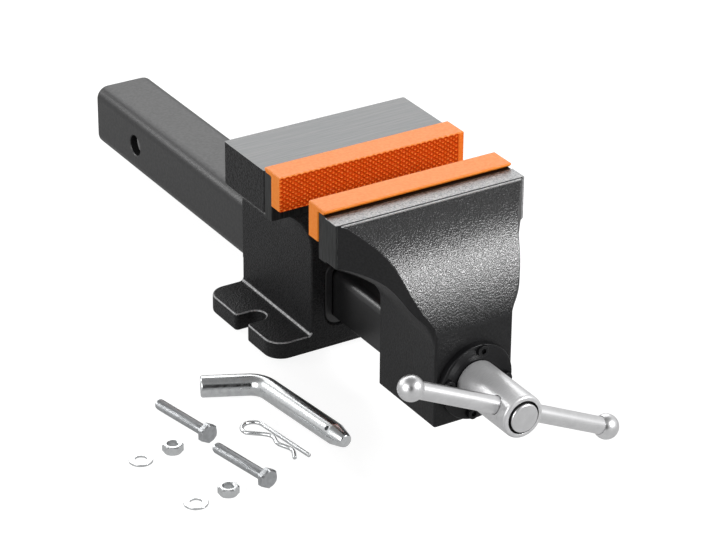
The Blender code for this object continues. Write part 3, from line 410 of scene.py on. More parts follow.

# Painted highlight on the fixed casting's rounded edges: light grey, so each edge shows as a light line
edge_highlight_paint = make_finish("grey_paint_for_edge_highlights", "8E8E8F", 0.4, 1.5 * MM, 0.02 * MM,
                          ("747475", "A8A8A9"), (0.46, 0.34))

# Ground strip of the moving casting: fine bright and dark specks of bare iron
ground_iron = make_finish("ground_cast_iron", "8C8D8E", 0.44, 0.9 * MM, 0.03 * MM, ("6A6C6E", "B0B0B0"),
                          (0.36, 0.52), metallic=1.0, stretch=(0.7, 1, 1))

# Hardened jaw steel, its ends ground upright: dark grey with fine upright lines
ground_steel = make_finish("ground_jaw_steel", "393A3A", 0.42, 0.6 * MM, 0.006 * MM, ("2A2B2B", "494A4A"),
                           (0.38, 0.48), metallic=1.0, stretch=(1, 1, 0.05))

# Satin powder coat on the steel tube: black with a soft orange-peel skin about 2.5 mm across
powder_coat = make_finish("satin_black_powder_coat", "1E1E1F", 0.4, 2.5 * MM, 0.02 * MM, ("1B1B1C", "222223"),
                          (0.42, 0.36), gloss=0.55)

# Satin black enamel on the drawn slide: smoother than the tube, so its edge shows one clean bright band
slide_enamel = make_finish("satin_black_enamel", "121213", 0.33, 3 * MM, 0.01 * MM, ("0F0F10", "161617"),
                           (0.35, 0.31), gloss=0.7)

# Black-oxide steel of the flange and screws: dark brown-black with a low oily sheen
black_oxide = make_finish("black_oxide_steel", "101011", 0.34, 0.9 * MM, 0.006 * MM, ("0F0F10", "18181A"),
                          (0.4, 0.28), gloss=0.25)

# Orange enamel baked on the jaw caps: bright orange with a soft sheen that pales its tops
orange_enamel = make_finish("orange_baked_enamel", "FA8A1C", 0.42, 2.2 * MM, 0.01 * MM, ("F88416", "FC9022"),
                            (0.46, 0.38), gloss=0.45)

# The same orange, darker and redder on the knurl's flanks and valleys: painted shade for the knurled face
knurl_painted_shade = make_finish("orange_with_painted_shade_in_the_knurl", "CC4604", 0.55, 1.2 * MM, 0.01 * MM,
                             ("C24002", "D64C06"), (0.6, 0.5), gloss=0.06)

# And on the knurl's points, a brighter orange: small painted highlight dots
knurl_painted_highlight = make_finish("orange_painted_highlight_on_the_points", "FC7E2C", 0.45, 1.2 * MM, 0.01 * MM,
                          ("F87424", "FF8834"), (0.5, 0.4), gloss=0.1)

# Satin-turned steel of the spindle's sleeve: fine rings round it blur what it mirrors to soft grey
turned_steel = make_finish("satin_turned_steel", "DEDEDF", 0.34, 0.35 * MM, 0, ("D8D8D9", "E4E4E5"),
                           (0.37, 0.31), metallic=0.5, stretch=(0.1, 1, 0.1))

# Bright satin plate on the handle's bar and knobs: light grey, with one soft dark spot mirrored in each knob
polished_steel = make_finish("satin_plated_steel", "DFDFE0", 0.32, 6 * MM, 0, ("DBDBDC", "E3E3E4"),
                             (0.33, 0.31), metallic=1.0)

# Zinc plate on the loose pin, clip and fasteners: nearly white, soft and slightly cloudy
zinc_plate = make_finish("bright_zinc_plate", "D8DADB", 0.22, 4 * MM, 0, ("D2D4D5", "DEE0E1"), (0.26, 0.18),
                         metallic=1.0)

# Duller zinc on the threaded bolts: mid grey
dull_zinc = make_finish("dull_zinc_plate", "B5B7B9", 0.36, 3 * MM, 0, ("ADAFB1", "BDBFC1"), (0.4, 0.32),
                        metallic=1.0)

# Bronze of the lead nut and thrust washer: warm brown metal, machined
bronze = make_finish("machined_bronze", "A9773F", 0.35, 0.8 * MM, 0.006 * MM, ("9C6C37", "B8864C"),
                     (0.42, 0.3), metallic=1.0)


# Fixed casting

body_low, body_high = span("fixed_body")
plate_low, plate_high = span("fixed_jaw_plate")
shank_low, shank_high = span("hitch_shank")
AXIS = (shank_low[2] + shank_high[2]) / 2
SHANK_SIDE = shank_high[2] - shank_low[2]
HALF_JAW = plate_high[0]
JAW_TOP, JAW_BOTTOM = plate_high[2], plate_low[2]
BASE_HALF, BASE_BACK = 69 * MM, body_high[1]
BASE_FRONT = -BASE_BACK
BASE_THICKNESS = 14 * MM
BASE_CORNER = 14 * MM
SLOT_WIDTH, SLOT_DEPTH, SLOT_SHIFT, SLOT_MOUTH = 16 * MM, 20 * MM, -3 * MM, 3 * MM
HALF_HOUSING, HOUSING_TOP = 37.5 * MM, 84 * MM
BLOCK_FRONT, BLOCK_BACK = body_low[1], body_low[1] + 58 * MM


def axis_square(half, radius, steps=6):
    """Front view of a square about the spindle's axis, with rounded corners."""
    corners = [(half, AXIS - half), (half, AXIS + half), (-half, AXIS + half), (-half, AXIS - half)]
    return anticlockwise(rounded(corners, radius, steps))


def base_plate():
    """The base's plan, an oblong with round corners and a round-ended slot in each ear, carried up its
    thickness."""
    front, back = SLOT_SHIFT - SLOT_WIDTH / 2, SLOT_SHIFT + SLOT_WIDTH / 2
    inner = BASE_HALF - SLOT_DEPTH
    right = [(BASE_HALF, BASE_FRONT), (BASE_HALF, front), (inner, front), (inner, back), (BASE_HALF, back),
             (BASE_HALF, BASE_BACK)]
    slot = SLOT_WIDTH / 2 - FINE
    radii = [BASE_CORNER, SLOT_MOUTH, slot, slot, SLOT_MOUTH, BASE_CORNER] * 2
    return extruded(rounded(both_sides(right), radii, 10), 0, BASE_THICKNESS, 2, CAST_END_ROUND)


def wall_foot():
    """Points up the housing's right wall: a fillet out of the base, then the draft step."""
    centre = (HALF_HOUSING + FOOT_FILLET, BASE_THICKNESS - FILLET_SUNK + FOOT_FILLET)
    fillet = arc(centre, FOOT_FILLET, 270, 180, 6) - (DRAFT_STEP, 0)
    return fillet.tolist() + [(HALF_HOUSING - DRAFT_STEP, DRAFT_LINE_HEIGHT - DRAFT_STEP),
                              (HALF_HOUSING, DRAFT_LINE_HEIGHT)]


def block_section():
    """Front view of the housing's front, neck and jaw block: a wall up from the base, a quarter circle out to
    the jaw's width, and the jaw block, left too tall for machining."""
    flare = HALF_JAW - HALF_HOUSING
    right = [(HALF_HOUSING + FOOT_FILLET, HOUSING_FOOT)] + wall_foot()
    right += arc((HALF_JAW, JAW_BOTTOM - flare), flare, 180, 90, 28)[:-1].tolist()
    right += rounded([(0, JAW_BOTTOM), (HALF_JAW, JAW_BOTTOM), (HALF_JAW, JAW_TOP)],
                     [0, JAW_FOOT_ROUND, 0])[1:-1].tolist()
    right.append((HALF_JAW, JAW_TOP + MILL_ALLOWANCE))
    return both_sides(right)


def housing_section():
    """Front view of the housing behind the block: a wall up from the base, a rounded edge and a flat top."""
    right = [(HALF_HOUSING + FOOT_FILLET - DRAFT_STEP, HOUSING_FOOT)] + wall_foot()
    edge = [(HALF_HOUSING, DRAFT_LINE_HEIGHT + OVERRUN), (HALF_HOUSING, HOUSING_TOP), (0, HOUSING_TOP)]
    right += rounded(edge, [0, CAST_ROUND, 0])[:-1].tolist()
    return both_sides(right)


def rear_sweep():
    """Side view of the web behind the jaw block: a quarter ellipse down from the block's back to the
    housing's top."""
    drop = (JAW_BOTTOM - HOUSING_TOP) * SWEEP_SHARE
    run = BASE_BACK - CAST_ROUND - BLOCK_BACK
    forward, up = edge_shares(28)
    curve = np.stack((BLOCK_BACK + run * forward, HOUSING_TOP - CAST_ROUND + drop * up), -1)
    inside = AXIS + SHANK_SIDE / 2 + 2 * MM
    front = BLOCK_BACK - OVERRUN
    return np.concatenate(([(front, inside), (BLOCK_BACK + run, inside)], curve, [(front, curve[-1, 1])]))


def tunnel_tool():
    """The square hole for the shank, chamfered at both mouths."""
    outline = axis_square(SHANK_SIDE / 2 + GAP, SHANK_CORNER + GAP, 8)
    t = np.linspace(0, math.pi / 2, 5)
    reach, wider = TUNNEL_FLARE * np.sin(t), TUNNEL_FLARE * (1 - np.sin(t))
    depth = -np.concatenate((wider[:1], wider, wider[::-1], wider[:1]))
    along = np.concatenate(([BLOCK_FRONT - OVERRUN], BLOCK_FRONT + reach, BASE_BACK - reach[::-1],
                            [BASE_BACK + OVERRUN]))
    return placed(inset(outline[None], depth[:, None, None]), along, 1)


def fixed_casting():
    """The casting: block, housing, web and base joined into one, less the tunnel, the nut's bolt hole and
    what the mill takes off the top."""
    casting = skin("fixed_casting", extruded(block_section(), BLOCK_FRONT, BLOCK_BACK, 1, CAST_END_ROUND))
    housing = extruded(housing_section(), BASE_FRONT, BASE_BACK, 1, CAST_END_ROUND)
    combine(casting, skin("housing", housing), "UNION")
    half_neck = HALF_HOUSING - CAST_ROUND
    combine(casting, skin("sweep", extruded(rear_sweep(), -half_neck, half_neck, 0)), "UNION")
    combine(casting, skin("base", base_plate()), "UNION")
    combine(casting, skin("tunnel", tunnel_tool()))
    nut_low, nut_high = span("lead_nut")
    middle = (nut_low[1] + nut_high[1]) / 2
    head, sunk, shaft = 6.8 * MM, 10 * MM, 4.3 * MM
    hole = [(-OVERRUN, 0), (-OVERRUN, head), (sunk, head), (sunk, shaft), (AXIS, shaft), (AXIS, 0)]
    combine(casting, skin("bolt_hole", turned(hole, (0, middle, 0), (0, 0, 1), 48)))
    reach, height = 100 * MM, 20 * MM
    mill = [(-reach, -reach), (reach, -reach), (reach, reach), (-reach, reach)]
    combine(casting, skin("mill", extruded(mill, JAW_TOP, JAW_TOP + height, 2)))

    # Milled is what faces up at the jaw's top, and every broken edge shines like it; the leaning faces along
    # the base's top and at the jaw block's foot are painted light grey as an edge highlight
    centre, normal = face_facts(casting)
    z = centre[:, 2]
    leaning = (np.abs(normal).max(axis=1) < 0.9) & (np.abs(normal[:, 2]) > 0.2)
    foot = (z > BASE_THICKNESS - CAST_END_ROUND) & (z < BASE_THICKNESS + FOOT_FILLET)
    jaw_foot = (z > JAW_BOTTOM - FINE) & (z < JAW_BOTTOM + JAW_FOOT_ROUND)
    highlighted_edges = leaning & (foot | jaw_foot) & (np.abs(centre[:, 0]) > SHANK_SIDE / 2)
    milled = (z > JAW_TOP - FINE) & (normal[:, 2] > 0.9)
    finished(casting, (cast_coat, milled_iron, edge_highlight_paint), np.select([milled, highlighted_edges], [1, 2], 0))
    edges = casting.modifiers.new("broken edges", "BEVEL")
    edges.width, edges.segments, edges.material = MACHINED_EDGE, 2, 1
    edges.limit_method, edges.angle_limit = "ANGLE", math.radians(50)
    dressed(casting, "fixed_half", cast_coat, "hammered_iron", "fixed_body")


def make_shank():
    """A square tube: rings of the rounded outer square, drawn in at the far end's chamfer, then of the inner
    one; and a hole across it with a soft rim on both sides."""
    outer = axis_square(SHANK_SIDE / 2, SHANK_CORNER, 12)
    inner = inset(outer, SHANK_WALL)
    front, back = shank_low[1], shank_high[1]
    chamfer, soft = SHANK_END_CHAMFER, 0.8 * MM
    rings = (inset(outer, soft), outer, outer, inset(outer, 0.1 * chamfer), inset(outer, 0.9 * chamfer),
             inset(outer, chamfer + soft), inset(inner, -soft), inner, inner, inset(inner, -soft))
    along = (front, front + soft, back - chamfer - soft, back - chamfer, back - 0.1 * chamfer, back, back,
             back - soft, front + soft, front)
    shank = skin("hitch_tube", placed(np.stack(rings), along, 1), joined=True)
    half, reach, radius, rim = SHANK_SIDE / 2, SHANK_SIDE / 2 + OVERRUN, PIN_HOLE / 2, 0.6 * MM
    wide = radius + rim + OVERRUN
    hole = [(-reach, 0), (-reach, wide), (-half, radius + rim), (-half + rim, radius), (half - rim, radius),
            (half, radius + rim), (reach, wide), (reach, 0)]
    combine(shank, skin("pin_hole", turned(hole, (0, back - PIN_HOLE_FROM_END, AXIS), (1, 0, 0), 64)))
    dressed(shank, "fixed_half", powder_coat, "coated_tube", "hitch_shank")


# Jaw plates and caps

def make_plate(side, inward, body):
    """A steel jaw plate: its end view with broken edges carried along the jaw, countersunk for two screws
    that go in from the gripping face."""
    low, high = span(side + "_jaw_plate")
    outline = rounded([(high[1], low[2]), high[1:], (low[1], high[2]), low[1:]], PLATE_EDGE, 2)
    plate = skin(side + "_steel_plate", extruded(outline, low[0], high[0], 0, 0.9 * PLATE_EDGE, 2))
    face = low[1] if inward > 0 else high[1]
    through = high[1] - low[1] + OVERRUN
    head, shaft, sunk = 7.8 * MM, 4.3 * MM, 4.3 * MM
    hole = [(-OVERRUN, 0), (-OVERRUN, head), (GAP, head), (sunk, shaft), (through, shaft), (through, 0)]
    for x in (-PLATE_SCREW_SPACING / 2, PLATE_SCREW_SPACING / 2):
        place = (x, face, JAW_TOP - PLATE_SCREW_DROP)
        combine(plate, skin("screw_hole", turned(hole, place, (0, inward, 0), 48)))
    dressed(plate, body, ground_steel, "hardened_steel", side + "_jaw_plate")


def cap_grid(low, high, face, jaw):
    """A cap as its end view carried along the jaw. The end view is an L whose gripping side has a row of
    points. These sink by the knurl's depth times one minus a power of the smaller of two triangle waves, of
    x / pitch + z / rise and x / pitch - z / rise, faded out at the margins. The first and last rings are
    drawn in for broken edges."""
    inward = math.copysign(1, jaw - face)
    z = np.arange(low[2] + CAP_EDGE, high[2] - CAP_EDGE + KNURL_STEP / 2, KNURL_STEP)
    grip = np.stack((np.full_like(z, face), z), -1)
    front, back, under = face + inward * CAP_EDGE, face + inward * CAP_BODY, high[2] - CAP_LIP
    corners = [(front, high[2]), (jaw, high[2]), (jaw, high[2] - LIP_TIP), (jaw - inward * LIP_BEVEL, under),
               (back, under), (back, low[2]), (front, low[2])]
    outline = np.concatenate((grip, rounded(corners, [0] + [CAP_EDGE] * 5 + [0], 5)))
    x = np.arange(low[0] + CAP_EDGE, high[0] - CAP_EDGE + KNURL_STEP / 2, KNURL_STEP)
    x = x + (high[0] - CAP_EDGE - x[-1]) * np.linspace(0, 1, len(x))
    rings = np.broadcast_to(outline, (len(x),) + outline.shape).copy()
    across, up = x[:, None] / KNURL_PITCH, z[None] / KNURL_RISE
    height = np.minimum(zigzag(across + up), zigzag(across - up)) ** KNURL_POWER
    rims = fade(z - low[2] - KNURL_MARGIN, KNURL_FADE) * fade(high[2] - KNURL_MARGIN - z, KNURL_FADE)
    ends = fade(x - low[0] - KNURL_MARGIN, KNURL_FADE) * fade(high[0] - KNURL_PLAIN_END - x, KNURL_FADE)
    rings[:, :len(z), 0] += inward * KNURL_DEPTH * (1 - height) * rims[None] * ends[:, None]
    order = 1 if area(outline) > 0 else -1
    drawn = inset(outline[None, ::order], 0.8 * CAP_EDGE)[:, ::order]
    rings = np.concatenate((drawn, rings, drawn))
    return placed(rings, np.concatenate(([low[0]], x, [high[0]])), 0)


def make_cap(side, facing, body):
    """A knurled cap, with painted shade on its gripping face and painted highlights on the knurl's points."""
    low, high = span(side + "_jaw_cap")
    face, jaw = (low[1], high[1]) if facing < 0 else (high[1], low[1])
    cap = skin(side + "_knurled_cap", cap_grid(low, high, face, jaw))
    centre, normal = face_facts(cap)
    sunk = np.abs(centre[:, 1] - face)
    gripping = (sunk < KNURL_DEPTH) & (normal[:, 1] * facing > 0.1) & (centre[:, 2] < high[2] - CAP_EDGE)
    # Painted shade on the gripping face, painted highlight dots on the knurl's points
    chosen = gripping * np.where(sunk < KNURL_LIT_SHARE * KNURL_DEPTH, 2, 1)
    finished(cap, (orange_enamel, knurl_painted_shade, knurl_painted_highlight), chosen)
    dressed(cap, body, orange_enamel, "orange_coating", side + "_jaw_cap")


# Moving casting

jaw_low, jaw_high = span("moving_jaw")
CASTING_BACK, BOSS_FRONT = jaw_high[1], jaw_low[1]
HEAD_FRONT = CASTING_BACK - 14.6 * MM
HALF_HEAD = HALF_JAW + 1 * MM
HALF_BOSS, BOSS_BOTTOM = 31.7 * MM, jaw_low[2] - 2 * MM
HOOD_LENGTH = HEAD_FRONT - BOSS_FRONT
HOOD_FRONT_TOP, FLANK_START, FLANK_START_FRONT = 86 * MM, 84 * MM, 76 * MM
HOOD_EVEN, HOOD_POWER = 0.49, 3.2       # share of the hood's fall that is even, and the power of the rest
BULGE_FROM, HOOD_BULGE = 0.4, 4.6 * MM  # the hood bulges from this share of the way to the boss
WING_HEIGHT, WING_DROP, WING_POWER = 33.1 * MM, 38 * MM, 2.4
FLANK_POWER, FLANK_SPACING = 0.6, 1.5
CREST_AT_BOSS, CREST_GROWTH, STRIP_CREST = 0.4 * MM, 0.8 * MM, 0.5 * MM


def hood_stations():
    """Places of the casting's rings: close together at the seam and at the rounded front."""
    strip = np.array([CASTING_BACK, HEAD_FRONT + FINE])
    seam = HEAD_FRONT - np.linspace(0, SEAM_WIDTH + BRIGHT_LAND, 21)
    land = np.linspace(HEAD_FRONT - SEAM_WIDTH - BRIGHT_LAND, HEAD_FRONT - HOOD_LAND, 4)[1:]
    hood = np.linspace(HEAD_FRONT - HOOD_LAND, BOSS_FRONT + BOSS_ROUND, 53)[1:]
    return np.concatenate((strip, seam, land, hood))


def casting_sections(y, depth=0.0):
    """Sections of the moving casting, drawn in by depth: a square boss, flanks that leave it upright and
    flare to the hood, a wing end and a flat top. The top falls by a linear share and a power of the way
    forward, the wing's lower edge by another power. The width narrows evenly to the boss's, with a bulge by
    the sine of the squared share of its last part. The flank runs out by share and up by a power of it."""
    ahead = np.clip(HEAD_FRONT - y, 0, None)
    along = np.clip(ahead / HOOD_LENGTH, 0, 1)
    land = HOOD_LAND / HOOD_LENGTH
    fall = np.clip((along - land) / (1 - land), 0, 1)
    groove = SEAM_DEPTH * np.sin(math.pi * np.clip(ahead / SEAM_WIDTH, 0, 1)) ** 2
    fallen = HOOD_EVEN * fall + (1 - HOOD_EVEN) * fall ** HOOD_POWER
    top = JAW_TOP - (JAW_TOP - HOOD_FRONT_TOP) * fallen - groove
    narrowed = np.clip(ahead / (HOOD_LENGTH - BOSS_ROUND), 0, 1)
    rear = HALF_HEAD - STRIP_STEP * (y < HEAD_FRONT + FINE / 2)
    last = np.clip((narrowed - BULGE_FROM) / (1 - BULGE_FROM), 0, 1)
    hood = rear + (HALF_BOSS + SHARP - rear) * narrowed + HOOD_BULGE * np.sin(math.pi * last ** 2)
    spread = (hood - HALF_BOSS) / (HALF_JAW - HALF_BOSS)
    start = FLANK_START_FRONT + (FLANK_START - FLANK_START_FRONT) * spread
    wing = np.minimum(JAW_TOP - WING_HEIGHT - WING_DROP * along ** WING_POWER, top - LEAST_WING)
    share = np.linspace(0, 1, 29)[None] ** FLANK_SPACING
    flank = np.stack((HALF_BOSS + (hood - HALF_BOSS)[:, None] * share,
                      start[:, None] + (wing - start)[:, None] * share ** FLANK_POWER), -1)
    foot = np.broadcast_to((HALF_BOSS, BOSS_BOTTOM), (len(y), 1, 2))
    crest = np.stack((hood, top), -1)[:, None]
    right = np.concatenate((foot, flank, crest), axis=1)
    radii = np.zeros(right.shape[:2])
    radii[:, 0] = BOSS_ROUND
    radii[:, -2] = BOSS_ROUND * spread
    radii[:, -1] = np.where(ahead > 0, CREST_AT_BOSS + CREST_GROWTH * spread, STRIP_CREST)
    depth = np.broadcast_to(depth, len(y))[:, None]
    radii = np.where(radii > 0, np.maximum(radii - depth, SHARP), 0)
    outline = inset(both_sides(right), depth[..., None])
    return rounded(outline, np.concatenate((radii, radii[:, ::-1]), axis=1), 5)


def moving_casting():
    """The casting: its sections from the jaw's face to the boss's front, drawn in there over a quarter turn,
    less the slide's pocket and the spindle's bore."""
    y = hood_stations()
    drawn, along = edge_shares(6)
    front = BOSS_FRONT + BOSS_ROUND * drawn[1:]
    rings = np.concatenate((casting_sections(y), casting_sections(front, BOSS_ROUND * along[1:])))
    casting = skin("moving_casting", placed(rings, np.concatenate((y, front)), 1))
    beam_low, beam_high = span("slide_beam")
    pocket = axis_square(beam_high[0] + GAP, SLIDE_CORNER + GAP)
    combine(casting, skin("pocket", extruded(pocket, beam_low[1] - GAP, CASTING_BACK + OVERRUN, 1)))
    collar, wide, stem, end = 7.9 * MM, 17.3 * MM, 10.3 * MM, 71.9 * MM
    bore = [(-OVERRUN, 0), (-OVERRUN, wide), (collar, wide), (collar, stem), (end, stem), (end, 0)]
    combine(casting, skin("bore", turned(bore, (0, BOSS_FRONT, AXIS), (0, 1, 0))))

    # The strip behind the seam is ground on top and at its ends; its right step and the land get painted
    # highlights
    centre, normal = face_facts(casting)
    strip = (centre[:, 1] > HEAD_FRONT - FINE / 4) & (centre[:, 2] > JAW_TOP - WING_HEIGHT - FINE)
    hood = (centre[:, 1] < HEAD_FRONT) & (normal[:, 2] > 0.25) & (centre[:, 2] > FLANK_START_FRONT)
    # Painted highlight: light grey on the strip's step where it stands proud of the hood, on the right side
    # only
    step = strip & (normal[:, 1] < -0.6) & (centre[:, 0] > 0)
    top, ends = strip & (normal[:, 2] > 0.6), strip & (normal[:, 1] < 0.97)
    seam = hood & (centre[:, 1] > HEAD_FRONT - SEAM_WIDTH)
    # Painted highlight: the narrow land in front of the seam gets the pale ground finish
    land = hood & (centre[:, 1] > HEAD_FRONT - SEAM_WIDTH - BRIGHT_LAND)
    finished(casting, (calm_coat, hammer_coat, ground_iron, ground_steel, edge_highlight_paint),
             np.select([step, top, ends, seam, land, hood], [4, 2, 3, 0, 2, 1], 0))
    dressed(casting, "sliding_half", hammer_coat, "hammered_iron", "moving_jaw")


def make_slide():
    """The slide's end view, a square channel open below with rounded edges, carried along its length."""
    low, high = span("slide_beam")
    side, bottom, top = high[0], low[2], high[2]
    inner, roof = side - SLIDE_WALL, top - SLIDE_ROOF
    corners = [(side, bottom), (side, top), (-side, top), (-side, bottom), (-inner, bottom), (-inner, roof),
               (inner, roof), (inner, bottom)]
    edge, bend = 0.8 * MM, 1.5 * MM
    radii = [edge, SLIDE_CORNER, SLIDE_CORNER, edge, edge, bend, bend, edge]
    beam = skin("slide_channel", extruded(rounded(corners, radii, 8), low[1], high[1], 1, 0.5 * MM, 2))
    dressed(beam, "sliding_half", slide_enamel, "black_steel", "slide_beam")


# Flange, spindle and handle. Profiles are in millimetres: distance along the axis and radius

head_low, head_high = span("spindle_head")
FLANGE_BACK = span("retainer_flange")[1][1]
HEAD_END = head_low[1]
FORWARD = (0, -1, 0)
SCREW_CIRCLE, SCREW_TURN = 24 * MM, 8   # radius, and degrees that the four screws are turned from upright
SCREW_SIDES = ("top", "right", "bottom", "left")
FLANGE_SCREWS = dict(zip(SCREW_SIDES, np.radians(90 - SCREW_TURN - 90 * np.arange(4))))
BAR_TILT = math.radians(25.7)
BAR_PLACE = np.array((0, HEAD_END + 16.5 * MM, AXIS))
BAR_DIRECTION = np.array((math.cos(BAR_TILT), 0, -math.sin(BAR_TILT)))
BAR_RADIUS, BAR_BORE = 6.35 * MM, 6.75 * MM
BALL_SPACING, BALL_RADIUS = 180.9 * MM, 9.28 * MM


def screw_place(angle, y):
    """A point on the circle of the flange's screws."""
    return SCREW_CIRCLE * math.cos(angle), y, AXIS + SCREW_CIRCLE * math.sin(angle)


def make_flange():
    """The flange's profile, a disc with a raised rim, turned; four holes are countersunk for its screws."""
    corners = [(0, 9.8), (0, 28.8), (4.8, 28.8), (4.8, 26.8), (3.1, 20.5), (2.8, 18), (2.8, 9.8)]
    profile = closed_profile(corners, [0, 0, 0.8, 0.5, 4, 0.5, 0])
    flange = skin("flange", turned(profile, (0, FLANGE_BACK, AXIS), FORWARD, 96), joined=True)
    hole = np.array([(-3, 0), (-3, 2.8), (1.6, 2.8), (1.6, 4.55), (8, 4.55), (8, 0)]) * MM
    for angle in FLANGE_SCREWS.values():
        combine(flange, skin("hole", turned(hole, screw_place(angle, FLANGE_BACK), FORWARD, 32)))
    dressed(flange, "sliding_half", black_oxide, "black_steel", "retainer_flange")


def make_flange_screw(side, angle):
    """Cap screw: a round head with a soft rim and a hexagonal socket, and its shaft, one profile turned."""
    corners = [(-14, 0), (-14, 2.5), (0, 2.5), (0, 4.25), (4.8, 4.25), (4.8, 2.6), (2.8, 2.4), (2.4, 0)]
    profile = closed_profile(corners, [0, 0.4, 0, 0.2, 0.5, 0.15, 0, 0], 4)
    socket = (np.abs(profile[:, 1] - 2.5 * MM) < 0.12 * MM) & (profile[:, 0] > 2.6 * MM)
    flats = np.where(socket, 4 * MM, ROUND)
    place = screw_place(angle, FLANGE_BACK - 1.9 * MM)
    screw = skin("socket_screw_" + side, turned(profile, place, FORWARD, 48, flats))
    dressed(screw, "sliding_half", black_oxide, "black_steel", "flange_screw_" + side)


def bar_hole():
    """The round hole for the sliding bar, with the bar's tilt."""
    return skin("bar_hole", turned(rod(BAR_BORE, 30 * MM), BAR_PLACE, BAR_DIRECTION, 72))


def make_spindle_head():
    """The polished sleeve: its profile runs round the nose into a wider mouth, then back down the bore."""
    mouth = 12.3
    corners = [(0, 9.8), (0, 16), (58.4, 16), (58.4, mouth), (54.7, mouth), (54.7, 9.8)]
    profile = closed_profile(corners, [0, 1, 2.2, 0.35, 0, 0], 8)
    head = skin("spindle_sleeve", turned(profile, (0, head_high[1], AXIS), FORWARD, 128), joined=True)
    combine(head, bar_hole())
    # Painted shade: the mouth and bore inside the nose get black oxide, so the recess round the button shows
    # dark
    centre = face_facts(head)[0]
    reach = np.hypot(centre[:, 0], centre[:, 2] - AXIS)
    inside = (reach < (mouth + 0.1) * MM) & (centre[:, 1] < HEAD_END + OVERRUN)
    finished(head, (turned_steel, black_oxide), inside)
    dressed(head, "spindle", turned_steel, "polished_steel", "spindle_head")


def make_spindle_screw():
    """The lead screw as one turned grid: a helical thread of 6 mm lead, a collar, and the stem with a wider
    button that stands proud of the sleeve."""
    low, high = span("spindle_screw")
    back = BOSS_FRONT + 7.6 * MM
    place = (0, back, AXIS)
    thread = threaded(back - high[1], -4 * MM, 10 * MM, 6 * MM, 2.2 * MM, place, FORWARD, 48, 10)
    end = (back - low[1]) / MM
    corners = [(-4, 0), (-4, 8.5), (0, 8.5), (0, 17), (5, 17), (5, 9.5), (end - 5, 9.5), (end - 5, 10.8),
               (end, 10.8), (end, 0)]
    profile = closed_profile(corners, [0, 0, 0, 0.5, 0.5, 0, 0, 0, 1.4, 0], 6)[2:]
    screw = skin("lead_screw", np.concatenate((thread, turned(profile, place, FORWARD, 48))))
    combine(screw, bar_hole())
    dressed(screw, "spindle", polished_steel, "polished_steel", "spindle_screw")


def make_handle():
    """A bar, turned, between two balls, which are arcs turned about the bar's axis and cut flat where it
    ends."""
    short = 0.1 * MM
    shoulder = BALL_SPACING / 2 - math.sqrt(BALL_RADIUS ** 2 - BAR_BORE ** 2) - short
    profile = rounded(rod(BAR_RADIUS, shoulder), [0, FINE, FINE, 0], 3)
    bar = skin("sliding_bar", turned(profile, BAR_PLACE, BAR_DIRECTION, 64))
    dressed(bar, "handle", polished_steel, "polished_steel", "handle_bar")
    ball = arc((0, 0), BALL_RADIUS, 0, 180 - math.degrees(math.asin(BAR_BORE / BALL_RADIUS)), 47)
    ball = np.concatenate((ball, [(ball[-1, 0], 0)]))
    for side, out in (("left", -BAR_DIRECTION), ("right", BAR_DIRECTION)):
        knob = skin("knob_" + side, turned(ball, BAR_PLACE + out * BALL_SPACING / 2, out, 64))
        dressed(knob, "handle", polished_steel, "polished_steel", "handle_ball_" + side)


# Loose kit

def softened(path, radius, edge):
    """A bar's path and radii with its two ends rounded over an edge of that radius."""
    drawn, along = edge_shares(4)
    start, stop = unit(path[0] - path[1]), unit(path[-1] - path[-2])
    head = path[0] - start * edge * along[:, None]
    tail = path[-1] - stop * edge * along[::-1, None]
    shrink = radius - edge * drawn
    inside = [np.linalg.norm(path - end, axis=1) > edge for end in (path[0], path[-1])]
    inner = path[inside[0] & inside[1]]
    radii = np.concatenate((shrink, np.full(len(inner), radius), shrink[::-1]))
    return np.concatenate((head, inner, tail)), radii


def make_pin():
    """The bent pin: two straight legs joined by an arc, a cone for a tip and a slanting cross hole."""
    radius = 7.95 * MM
    bend, into, out = np.array((-99, -85)) * MM, heading(154 + 180), heading(-83.7)
    start, tip = bend - into * 43.4 * MM, bend + out * 99.6 * MM
    curve = rounded([start, bend, tip], [0, 17 * MM, 0], 16)[1:-1]
    head = start + into * (np.array((0, 0.5, 1.2, 4, 20))[:, None] * MM)
    straight = tip - out * (np.array((60, 18, 13, 12, 4, 1.2, 0.4, 0))[:, None] * MM)
    radii = np.concatenate(((6.9, 7.55), np.full(22, radius / MM), (7.9, 7.8, 5.9, 5.1, 4.7, 4.1))) * MM
    flat = np.concatenate((head, curve, straight))
    pin = skin("bent_pin", swept(np.column_stack((flat, np.full(len(flat), radius))), radii, 48))
    place = (*(tip - out * 15 * MM), radius)
    combine(pin, skin("cross_hole", turned(rod(1.8 * MM, 20 * MM), place, (out[1], -out[0], 1.0), 32)))
    dressed(pin, "fixed_half", zinc_plate, "zinc_plate", "hitch_pin")


